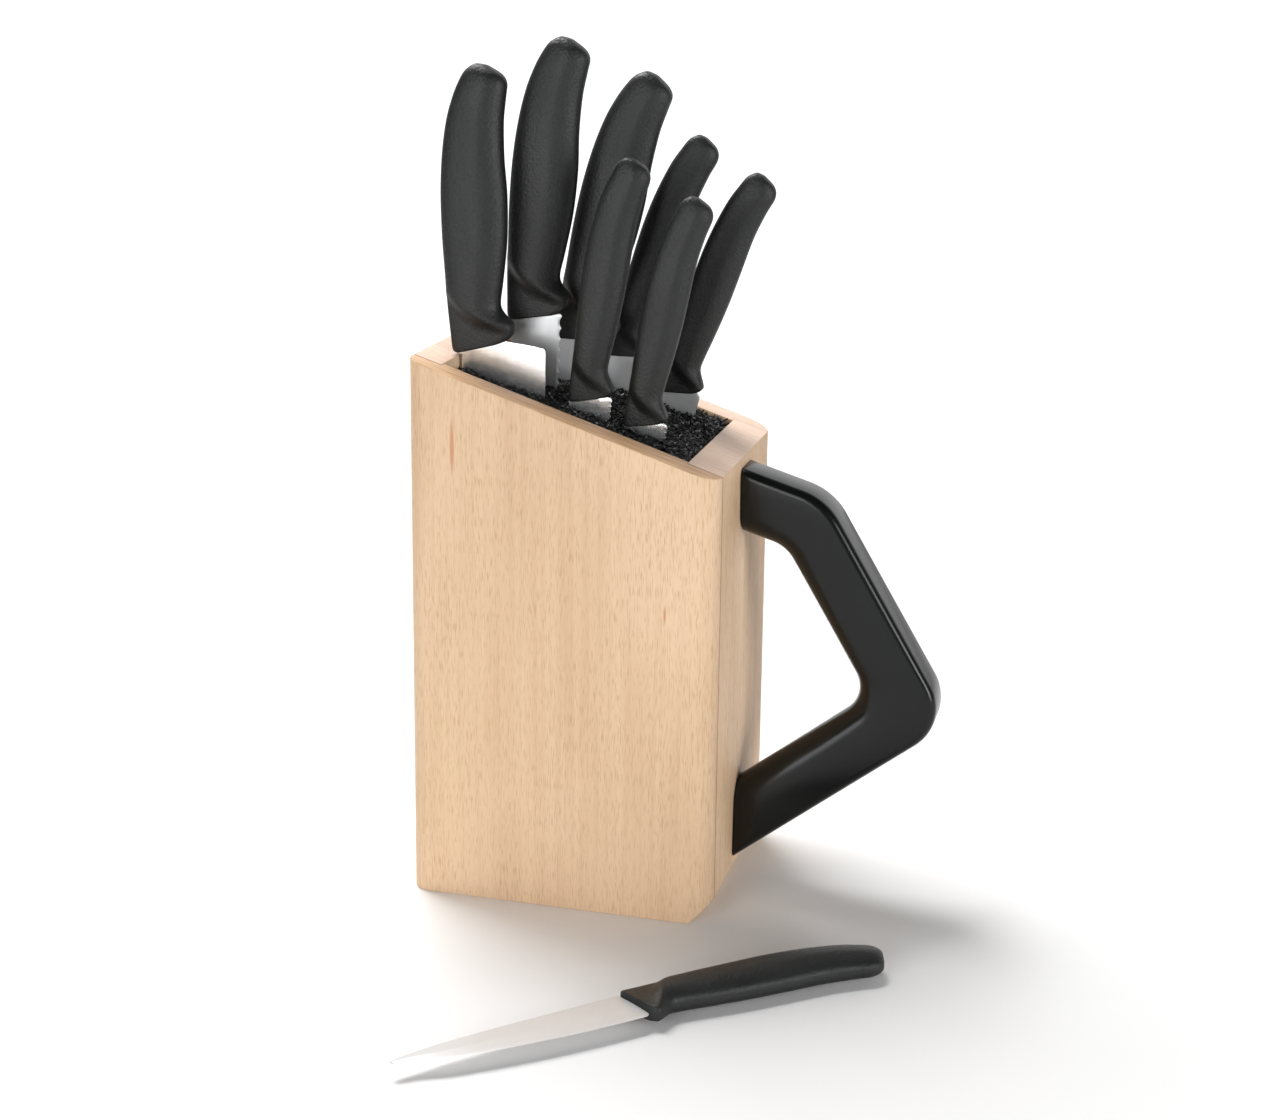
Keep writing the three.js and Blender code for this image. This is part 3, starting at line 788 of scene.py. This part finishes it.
class OBJECT_OT_knife_block_grip(bpy.types.Operator):
    """Carrying handle: one moulding with a rounded upper bend and a rounded tip"""

    bl_idname = "object.knife_block_grip"
    bl_label = "Carrying handle"

    def execute(self, context):
        look = context.scene.knife_block_grip
        face = GRIP[0].x / MM
        corners = [
            (face, GRIP_TOP),
            (face + GRIP_SHOULDER[0], GRIP_TOP - GRIP_SHOULDER[1]),
            (face + GRIP_TIP[0], GRIP_TIP[1]),
            (face, GRIP_FOOT),
        ]
        ways = [(Vector(b) - Vector(a)).normalized() for a, b in zip(corners[:-1], corners[1:])]
        inner_lines = [
            (Vector(a) + Vector((way.y, -way.x)) * GRIP_THICK, way) for a, way in zip(corners, ways)
        ]
        wall = (Vector((face, 0)), Vector((0, 1)))
        inner_corners = [
            meeting(*inner_lines[0], *wall),
            meeting(*inner_lines[0], *inner_lines[1]),
            meeting(*inner_lines[1], *inner_lines[2]),
            meeting(*inner_lines[2], *wall),
        ]
        outer_line, inner_line = (
            rounded_line([(*corner, radius) for corner, radius in zip(line, (0, *bends, 0))])
            for line, bends in ((corners, OUTER_BENDS), (inner_corners, INNER_BENDS))
        )
        half = (GRIP[1].y - GRIP[0].y) / 2 / MM
        section = grip_section(half, look.outer_edge / MM, look.inner_edge / MM)
        rings = []
        for outside, inside in zip(outer_line, inner_line):
            inward = (inside - outside).normalized()
            ring = []
            for side, offset, across in section:
                p = outside + inward * offset if side == "outer" else inside - inward * offset
                ring.append(Vector((p.x, across, p.y)) * MM)
            rings.append(ring)
        piece = loft("carry_handle_moulding", rings)
        round_edges(piece, 0.0004, 2, 50)
        shade(piece, 40)
        black = moulded("carry_handle_black", tuple(look.colour), rough=0.22, grain=900, depth=0.000006,
                        spread=0.04, gloss=0.32, lift=1.15)
        finish_piece(piece, "block", "grip_plastic", black, "carry_handle")
        return {"FINISHED"}


# ------------------------------------------------------------------ knives


# How a handle's section changes from the bolster to the tail, the same for both families.
HANDLE_RINGS, HANDLE_POINTS = 80, 44
END_SHARE = 0.03
BACK_FROM = 0.6
TAIL_FROM, TAIL_EASE = 0.84, 0.12
SIDE_SPREAD = 0.72
STEP_CURVE = 2.1
BOLSTER_SQUARE, SQUARE_LOSS = 7, 4.0
NECK_SHARE, NECK_GAIN, NECK_LENGTH = 0.92, 0.08, 60
RIDGE_FROM, RIDGE_FALL, RIDGE_CURVE = 0.6, 0.30, 1.15
SCOOP, SCOOP_FROM, SCOOP_EASE = 0.05, 30, 12


def knife_matrices(body, handle_points):
    """Placement of a knife's handle and blade, by laying the handle's box on the CAD node's."""
    knife = KNIVES[body]
    if body == SPARE:
        heading = math.radians(SPARE_HEADING)
        along = Vector((math.cos(heading), math.sin(heading), 0))
        across = Vector((math.sin(heading), -math.cos(heading), 0))
        base = Matrix((across, Vector((0, 0, -1)), along)).transposed().to_4x4()
    else:
        base = Matrix.Rotation(math.radians(knife.blade_lean), 4, "Y")
    handle = base @ Matrix.Rotation(math.radians(knife.handle_lean - knife.blade_lean), 4, "Y")
    placed = [handle @ p for p in handle_points]
    low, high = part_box(body + "_handle")
    lowest = Vector([min(p[i] for p in placed) for i in range(3)])
    highest = Vector([max(p[i] for p in placed) for i in range(3)])
    shift = Matrix.Translation((low + high) / 2 - (lowest + highest) / 2)
    return shift @ handle, shift @ base


def handle_rings(body, swell):
    """Sections of a moulded handle: thin bolster, curved step, fuller grip with a soft ridge."""
    knife = KNIVES[body]
    sections, (step_spine, step_edge, thin, full) = HANDLES[knife.family]
    spine, cutting, halves = zip(*sections)
    rings = []
    for i in range(HANDLE_RINGS + 1):
        t = i / HANDLE_RINGS
        a, b = along_curve(spine, t), along_curve(cutting, t)
        half = along_curve([(value,) for value in halves], t)[0]
        ring = []
        for k in range(HANDLE_POINTS):
            angle = 2 * math.pi * (k + 0.5) / HANDLE_POINTS
            c, s = math.cos(angle), math.sin(angle)
            across = (1 - math.copysign(abs(c) ** SIDE_SPREAD, c)) / 2
            height = a[1] + (b[1] - a[1]) * across
            step = step_edge + (step_spine - step_edge) * (1 - across) ** STEP_CURVE
            rise = smooth((height - step) / swell + 0.5)
            square = BOLSTER_SQUARE - SQUARE_LOSS * rise
            lift = math.copysign(abs(s) ** (2 / square), s)
            grip = full * (NECK_SHARE + NECK_GAIN * smooth(height / NECK_LENGTH))
            if t > BACK_FROM:
                grip = min(grip, half)
            thick = min(half, thin) if t < END_SHARE else thin + (grip - thin) * rise
            along_grip = rise * (1 - smooth((t - TAIL_FROM) / TAIL_EASE))
            hollow = math.sin(math.pi * min(across / RIDGE_FROM, 1.0))
            scoop = SCOOP * hollow * smooth((height - SCOOP_FROM) / SCOOP_EASE)
            slant = max(0.0, (across - RIDGE_FROM) / (1 - RIDGE_FROM)) ** RIDGE_CURVE
            ridge = 1 - along_grip * (RIDGE_FALL * slant + scoop)
            x = a[0] + (b[0] - a[0]) * across
            ring.append(Vector((x * knife.scale, thick * lift * ridge, height * knife.scale)) * MM)
        rings.append(ring)
    return rings


class OBJECT_OT_knife_block_handles(bpy.types.Operator):
    """Moulded handles of all knives"""

    bl_idname = "object.knife_block_handles"
    bl_label = "Knife handles"

    def execute(self, context):
        look = context.scene.knife_block_knives
        black = moulded("knife_handle_black", tuple(look.handle), rough=0.50, grain=1250, depth=0.00020)
        for body in KNIVES:
            rings = handle_rings(body, look.step / MM)
            handle, _ = knife_matrices(body, [p for ring in rings for p in ring])
            placed = [[handle @ p for p in ring] for ring in rings]
            piece = loft(body + "_moulding", placed)
            round_edges(piece, 0.0008, 3, 50)
            shade(piece, 50)
            finish_piece(piece, body, "handle_plastic", black, body + "_handle")
        return {"FINISHED"}


# Along a blade: spacing of a plain one's sections, sections to a tooth, share of the length that the
# teeth's pitch is fitted into, where the teeth end, where the last full section is, how fast the blade
# thins, and half the width and the height of the tip's own section.
PLAIN_PITCH = 2.6
SECTIONS_PER_TOOTH = 6
TOOTHED_SHARE = 0.985
TEETH_END = 0.93
LAST_SHARE = 0.992
THINNING = 0.35
HEEL_STEPS = 4
TIP_HALF, TIP_HEIGHT = 0.35, 0.4


def blade_outline(stations, share):
    """Edge's distance from the spine's line and the spine's own way in, at a share of the length."""
    for i, ((s0, w0, d0), (s1, w1, d1)) in enumerate(zip(stations[:-1], stations[1:])):
        if share <= s1:
            t = (share - s0) / (s1 - s0)
            if s1 == 1:
                return w1 + (w0 - w1) * math.sqrt(max(0.0, 1 - t * t)), d0 + (d1 - d0) * t
            return along_curve([s[1:] for s in stations[:-1]], (i + t) / (len(stations) - 2))
    return stations[-1][1:]


def blade_section(knife, start, end, share, bite, level):
    """One section from spine to edge and back; level gives the height at x and share of the width."""
    half = BLADE_HALF[knife.family] * (1 - THINNING * share)
    ground = GRIND_FROM[knife.profile]
    widths = (0.0, 0.02, ground - 0.01, ground + 0.01, 0.93, 1.0)
    side = []
    for frac, thick in zip(widths, (0.86, 1.0, 0.985, 0.955, 0.34, 0.10)):
        x = start + (end + bite - start) * frac
        if bite and frac > 0.9:
            x = min(x, end - 0.3) if frac < 1 else end
        side.append((x, thick * half, level(x, frac)))
    return [Vector(p) * MM for p in side + [(x, -y, z) for x, y, z in reversed(side)]]


def blade_rings(body, length):
    """Sections of a blade from the handle to the tip, in its own frame."""
    knife = KNIVES[body]
    stations = PROFILES[knife.profile]
    inset = knife.inset
    (a, b), (c, d) = HANDLES[knife.family][0][0][:2]
    slope = math.tan(math.atan2(d - b, c - a) + math.radians(knife.blade_lean - knife.handle_lean))
    rise_end = RISE_END[knife.family]
    heel = inset + stations[0][1] - HEEL_RADIUS

    def top(x):
        """Height of the blade's upper end, along the handle's underside and down to the heel."""
        return slope * min(x, rise_end) + SHOULDER - max(0.0, x - rise_end) * HEEL_FALL

    rings = []
    for k in range(HEEL_STEPS + 1):
        angle = math.pi / 2 * k / HEEL_STEPS
        x = heel + HEEL_RADIUS * math.sin(angle)
        fall = HEEL_RADIUS * (1 - math.cos(angle)) + 0.04 * k
        rings.append(blade_section(knife, inset, x, 0.0, 0.0, lambda x, frac: top(x) - fall))
    pitch, depth = knife.teeth or (PLAIN_PITCH, 0.0)
    per = SECTIONS_PER_TOOTH if knife.teeth else 1
    count = int(TOOTHED_SHARE * length / pitch) * per
    low = top(heel) - HEEL_RADIUS
    for k in range(1, count + 1):
        share = k / count * LAST_SHARE
        width, drop = blade_outline(stations, share)
        z = low - share * (length + low)
        bite = 0.0
        if knife.teeth and share < TEETH_END:
            bite = depth * math.sin(math.pi * (k % per) / per) ** 0.8
        spine_z = min(-share * length, slope * inset - HEEL_RADIUS)
        rings.append(blade_section(
            knife, inset + drop, inset + width - bite, share, bite,
            lambda x, frac: spine_z + (z - spine_z) * frac,
        ))
    tip = inset + stations[-1][2]
    rings.append(blade_section(
        knife, tip - TIP_HALF, tip + TIP_HALF, 1.0, 0.0, lambda x, frac: -length + TIP_HEIGHT
    ))
    return rings


class OBJECT_OT_knife_block_blades(bpy.types.Operator):
    """Ground steel blades of all knives"""

    bl_idname = "object.knife_block_blades"
    bl_label = "Blades"

    def execute(self, context):
        swell = context.scene.knife_block_knives.step / MM
        for body, knife in KNIVES.items():
            points = [p for ring in handle_rings(body, swell) for p in ring]
            _, base = knife_matrices(body, points)
            lean = math.radians(knife.blade_lean)
            if body == SPARE:
                length = SPARE_BLADE_LENGTH
                turn = (0, math.radians(-90), math.radians(-SPARE_HEADING))
            else:
                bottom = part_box(body + "_blade")[0].z
                length = (base.to_translation().z - bottom) / math.cos(lean) / MM - 0.2
                turn = (0, -lean, 0)
            rings = [[base @ p for p in ring] for ring in blade_rings(body, length)]
            piece = loft(body + "_steel", rings)
            shade(piece, 3.5)
            finish = steel("steel_" + body, turn, *BLADE_FINISH[body])
            finish_piece(piece, body, "blade_steel", finish, body + "_blade")
        return {"FINISHED"}


# ------------------------------------------------------------------ bristles


# Bristles, metres: how far their tips stand below the rim's line, how far the solid bed lies below the
# tips, the gaps that filaments keep to the mouth's walls and to each blade's edges and faces.
BRISTLE_DROP = 0.0055
BED_DROP = 0.0016
WALL_GAP = 0.0002
BED_GAP = 0.0003
EDGE_GAP = 0.0003
FACE_GAP = 0.0013
BEDS = 5
FILAMENT_KINDS = 5
FILAMENT_BENDS = 5


def strand_shapes(thickness, seed):
    """A few crumpled filaments, each modelled once round the X axis."""
    shapes = []
    chance = random.Random(seed)
    for k in range(FILAMENT_KINDS):
        deselect_all()
        bpy.ops.mesh.primitive_cylinder_add(
            vertices=4, radius=thickness / 2, depth=0.0001, rotation=(0, math.pi / 2, 0)
        )
        piece = name_piece("filament_%d" % k)
        bpy.ops.object.transform_apply(location=True, rotation=True, scale=True)
        bpy.ops.object.mode_set(mode="EDIT")
        bpy.ops.mesh.select_mode(type="FACE")
        work = bmesh.from_edit_mesh(piece.data)
        for face in work.faces:
            face.select_set(face.calc_center_median().x > 0.00002)
        bmesh.update_edit_mesh(piece.data)
        for _ in range(FILAMENT_BENDS):
            bend = (0.0009, chance.uniform(-0.0007, 0.0007), chance.uniform(-0.0006, 0.0005))
            bpy.ops.mesh.extrude_region_move(TRANSFORM_OT_translate={"value": bend})
        bpy.ops.object.mode_set(mode="OBJECT")
        points = [v.co.copy() for v in piece.data.vertices]
        middle = sum(points, Vector()) / len(points)
        faces = [tuple(p.vertices) for p in piece.data.polygons]
        shapes.append(([p - middle for p in points], faces))
        bpy.data.objects.remove(piece, do_unlink=True)
    return shapes


def blade_gaps():
    """Where blades stand in the mouth: spine's x, width, lean, height of the tip, and y of each."""
    gaps = []
    for body, knife in KNIVES.items():
        if body == SPARE:
            continue
        low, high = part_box(body + "_blade")
        lean = math.tan(math.radians(knife.blade_lean))
        corners = [v.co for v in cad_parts[body + "_blade"].data.vertices]
        tip = min(corners, key=lambda v: v.z)
        lower = [v for v in corners if v.z < tip.z + 0.6 * (high.z - low.z)]
        spine = min(v.x - (v.z - tip.z) * lean for v in lower)
        gaps.append((spine, PROFILES[knife.profile][0][1] * MM, lean, tip.z, (low.y + high.y) / 2))
    return gaps


class OBJECT_OT_knife_block_bristles(bpy.types.Operator):
    """Bristle beds: a rough bed and many crumpled filaments on it"""

    bl_idname = "object.knife_block_bristles"
    bl_label = "Bristles"

    def execute(self, context):
        look = context.scene.knife_block_bristles
        chance = random.Random(look.seed)
        shapes = strand_shapes(look.thickness, look.seed)
        black = bristle_black("bristle_black")
        gaps = blade_gaps()
        beds = ["bristle_bed_%d" % (i + 1) for i in range(BEDS)]
        boxes = [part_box(bed) for bed in beds]
        for i, bed in enumerate(beds):
            low, high = boxes[i]
            y0 = MOUTH["near"] + BED_GAP if i == 0 else (boxes[i - 1][1].y + low.y) / 2
            y1 = MOUTH["far"] - BED_GAP if i == BEDS - 1 else (high.y + boxes[i + 1][0].y) / 2
            piece = self.bed(bed + "_filaments", low, high, chance)
            points = [v.co.copy() for v in piece.data.vertices]
            faces = [tuple(p.vertices) for p in piece.data.polygons]
            columns = int((MOUTH["front"] - MOUTH["rear"]) / look.pitch)
            rows = max(3, int((y1 - y0) / look.pitch))
            for c in range(columns):
                for r in range(rows):
                    x = MOUTH["rear"] + (c + chance.random()) * look.pitch
                    y = y0 + (r + chance.random()) * (y1 - y0) / rows
                    self.strand(points, faces, shapes, gaps, chance, x, y)
            made = bpy.data.meshes.new(piece.name)
            made.from_pydata(points, [], faces)
            old = piece.data
            piece.data = made
            bpy.data.meshes.remove(old)
            shade(piece, 60)
            finish_piece(piece, "block", "bristles", black, bed)
        return {"FINISHED"}

    def surface(self, x):
        """Height of the bristle tips at x, under a line that rises from the front board's face."""
        return FRONT[1].z + (FRONT[1].x - x) * RIM_SLOPE - BRISTLE_DROP

    def bed(self, name, low, high, chance):
        """A solid bed whose top follows the slanted rim a little under the tips."""
        deselect_all()
        size = high - low
        bpy.ops.mesh.primitive_cube_add(size=1, location=(low + high) / 2)
        piece = name_piece(name)
        piece.scale = (size.x, size.y, size.z)
        bpy.ops.object.transform_apply(location=True, rotation=True, scale=True)
        slope = math.atan(RIM_SLOPE)
        bpy.ops.object.mode_set(mode="EDIT")
        bpy.ops.mesh.select_all(action="SELECT")
        bpy.ops.mesh.bisect(
            plane_co=(0, 0, self.surface(0) - BED_DROP),
            plane_no=(math.sin(slope), 0, math.cos(slope)),
            use_fill=True,
            clear_outer=True,
        )
        bpy.ops.mesh.select_mode(type="FACE")
        work = bmesh.from_edit_mesh(piece.data)
        for face in work.faces:
            face.select_set(face.normal.z > 0.5)
        bmesh.update_edit_mesh(piece.data)
        bpy.ops.mesh.subdivide(number_cuts=14)
        work = bmesh.from_edit_mesh(piece.data)
        for corner in work.verts:
            x, y, z = corner.co
            inside = low.x + 0.001 < x < high.x - 0.001 and low.y + 0.0004 < y < high.y - 0.0004
            if inside and z > self.surface(x) - 0.003:
                corner.co.z += chance.uniform(-0.0009, 0.0006)
        bmesh.update_edit_mesh(piece.data)
        bpy.ops.object.mode_set(mode="OBJECT")
        return piece

    def strand(self, points, faces, shapes, gaps, chance, x, y):
        """Lays one filament near x, y unless it would pass through a blade."""
        shape, sides = shapes[chance.randrange(len(shapes))]
        turn = Matrix.Rotation(chance.uniform(0, 2 * math.pi), 3, "Z")
        tilt = Matrix.Rotation(chance.uniform(-0.55, 0.55), 3, "Y")
        spin = Matrix.Rotation(chance.uniform(0, 2 * math.pi), 3, "X")
        z = self.surface(x) + chance.uniform(-0.0014, 0.0004)
        size = chance.uniform(0.75, 1.15)
        placed = [Vector((x, y, z)) + (turn @ (tilt @ (spin @ p))) * size for p in shape]
        for p in placed:
            if not (MOUTH["rear"] + WALL_GAP < p.x < MOUTH["front"] - WALL_GAP):
                return
            if not (MOUTH["near"] + WALL_GAP < p.y < MOUTH["far"] - WALL_GAP):
                return
        placed = [Vector((p.x, p.y, p.z - (p.x - x) * RIM_SLOPE)) for p in placed]
        for spine, width, lean, bottom, middle in gaps:
            left = spine + (z - bottom) * lean
            right = left + width
            beside = [p.y - middle for p in placed if left - EDGE_GAP < p.x < right + EDGE_GAP]
            if beside and min(beside) < FACE_GAP and max(beside) > -FACE_GAP:
                return
        first = len(points)
        points.extend(placed)
        faces.extend(tuple(first + v for v in side) for side in sides)


# ------------------------------------------------------------------ hidden parts


class OBJECT_OT_knife_block_inside(bpy.types.Operator):
    """Tray and screws inside the block keep their frame shapes and get their finishes"""

    bl_idname = "object.knife_block_inside"
    bl_label = "Tray and screws"

    def execute(self, context):
        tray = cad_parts["bristle_tray"]
        black = moulded("tray_black", (0.022, 0.022, 0.022), rough=0.5, grain=1500, depth=0.00004)
        coat(tray, black)
        zinc = steel("screw_zinc", (0, 0, 0), rough=0.36, darker=0.75)
        for i in range(1, 5):
            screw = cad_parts["handle_screw_%d" % i]
            coat(screw, zinc)
        return {"FINISHED"}


# ------------------------------------------------------------------ stage


# Each lamp's place, target, size (metres) and power (watts).
LAMPS = {
    "top": ((-0.55, 0.45, 1.6), (0, 0, 0.05), 0.8, 31),
    "front": ((-0.6, -2.2, 0.40), (0, 0, 0.12), 1.5, 33),
    "side": ((1.9, -0.9, 0.40), (0, 0, 0.12), 0.9, 21),
}
CAMERA_PLACE = (0.2554, -0.8855, 0.4088)
CAMERA_SHIFT = (0.0032, -0.0927)
# The floor fades out between these distances from the origin, for the camera only.
FLOOR_FADE = (0.36, 0.85)


class OBJECT_OT_knife_block_stage(bpy.types.Operator):
    """Pale floor, soft studio light and the camera"""

    bl_idname = "object.knife_block_stage"
    bl_label = "Stage"

    def execute(self, context):
        scene = context.scene
        look = scene.knife_block_stage
        scene.view_settings.view_transform = "Standard"
        deselect_all()
        bpy.ops.mesh.primitive_plane_add(size=14, location=(0, 2, 0))
        floor = name_piece("floor")
        bpy.ops.object.transform_apply(location=True, rotation=True, scale=True)
        material, tree, shader = new_material("floor_white")
        shade_of = noise(tree, stretched(tree, (3, 3, 3)), 2.0, 0.5)
        white = mixed(tree, shade_of, (0.93, 0.93, 0.93), (0.95, 0.95, 0.95))
        tree.links.new(white, shader.inputs["Base Color"])
        far = add_node(tree, "ShaderNodeVectorMath", operation="LENGTH")
        tree.links.new(stretched(tree, (1, 1, 1)), far.inputs[0])
        seen = tree.nodes.new("ShaderNodeLightPath").outputs["Is Camera Ray"]
        fade = reckon(tree, "MULTIPLY", between(tree, far.outputs["Value"], *FLOOR_FADE), seen)
        tree.links.new(reckon(tree, "SUBTRACT", 1.0, fade), shader.inputs["Alpha"])
        shader.inputs["Roughness"].default_value = 0.9
        shader.inputs["Specular IOR Level"].default_value = 0.1
        coat(floor, material)
        world = bpy.data.worlds.new("studio")
        world.use_nodes = True
        world.node_tree.nodes["Background"].inputs["Color"].default_value = (1, 1, 1, 1)
        sky = world.node_tree
        seen = sky.nodes.new("ShaderNodeLightPath").outputs["Is Camera Ray"]
        way = sky.nodes.new("ShaderNodeTexCoord").outputs["Generated"]
        backdrop = between(sky, along_axis(sky, way, "Y"), 0.35, 0.85, 0.20, 1.25)
        low = between(sky, along_axis(sky, way, "Z"), 0.25, 0.75, 1.0, 0.25)
        glow = reckon(sky, "MULTIPLY", backdrop, low)
        strength = reckon(sky, "MAXIMUM", glow, seen)
        sky.links.new(strength, sky.nodes["Background"].inputs["Strength"])
        scene.world = world
        for name, values in LAMPS.items():
            self.lamp(name, *values)
        data = bpy.data.cameras.new("camera")
        camera = bpy.data.objects.new("camera", data)
        scene.collection.objects.link(camera)
        data.lens = look.lens
        data.shift_x, data.shift_y = CAMERA_SHIFT
        data.clip_end = 50
        camera.matrix_world = (
            Matrix.Translation(CAMERA_PLACE)
            @ Matrix.Rotation(look.heading, 4, "Z")
            @ Matrix.Rotation(math.pi / 2 - look.pitch, 4, "X")
            @ Matrix.Rotation(look.roll, 4, "Z")
        )
        scene.camera = camera
        return {"FINISHED"}

    def lamp(self, name, place, target, size, power):
        """One square soft light aimed at a point."""
        data = bpy.data.lights.new(name, "AREA")
        data.size = size
        data.energy = power
        lamp = bpy.data.objects.new(name, data)
        bpy.context.scene.collection.objects.link(lamp)
        lamp.location = place
        aim = Vector(target) - Vector(place)
        lamp.rotation_euler = aim.to_track_quat("-Z", "Y").to_euler()


class VIEW3D_PT_knife_block(bpy.types.Panel):
    """Settings and steps of the knife block"""

    bl_idname = "VIEW3D_PT_knife_block"
    bl_label = "Knife Block"
    bl_space_type = "VIEW_3D"
    bl_region_type = "UI"
    bl_category = "Knife Block"

    def draw(self, context):
        layout = self.layout
        for title, group, operators in PANEL_PARTS:
            box = layout.box()
            box.label(text=title)
            settings = getattr(context.scene, group)
            for key in settings.bl_rna.properties.keys():
                if key not in ("rna_type", "name"):
                    box.prop(settings, key)
            for operator in operators:
                box.operator(operator.bl_idname)


SETTINGS = {
    "knife_block_wood": KnifeBlockWood,
    "knife_block_grip": KnifeBlockGrip,
    "knife_block_knives": KnifeBlockKnives,
    "knife_block_bristles": KnifeBlockBristles,
    "knife_block_stage": KnifeBlockStage,
}
OPERATORS = (
    OBJECT_OT_knife_block_boards,
    OBJECT_OT_knife_block_grip,
    OBJECT_OT_knife_block_handles,
    OBJECT_OT_knife_block_blades,
    OBJECT_OT_knife_block_bristles,
    OBJECT_OT_knife_block_inside,
    OBJECT_OT_knife_block_stage,
)
PANEL_PARTS = (
    ("Wood", "knife_block_wood", OPERATORS[0:1]),
    ("Carrying handle", "knife_block_grip", OPERATORS[1:2]),
    ("Knives", "knife_block_knives", OPERATORS[2:4]),
    ("Bristles", "knife_block_bristles", OPERATORS[4:6]),
    ("Stage", "knife_block_stage", OPERATORS[6:7]),
)


def register():
    """Registers the settings, the operators and the panel."""
    for kind in (*SETTINGS.values(), *OPERATORS, VIEW3D_PT_knife_block):
        bpy.utils.register_class(kind)
    for name, kind in SETTINGS.items():
        setattr(bpy.types.Scene, name, bpy.props.PointerProperty(type=kind))


def unregister():
    """Removes what register added."""
    for name in SETTINGS:
        delattr(bpy.types.Scene, name)
    for kind in reversed((*SETTINGS.values(), *OPERATORS, VIEW3D_PT_knife_block)):
        bpy.utils.unregister_class(kind)


def main():
    """Builds everything in order."""
    register()
    bpy.ops.object.knife_block_boards()
    bpy.ops.object.knife_block_grip()
    bpy.ops.object.knife_block_handles()
    bpy.ops.object.knife_block_blades()
    bpy.ops.object.knife_block_bristles()
    bpy.ops.object.knife_block_inside()
    bpy.ops.object.knife_block_stage()
    bpy.context.view_layer.update()


if __name__ == "__main__":
    main()
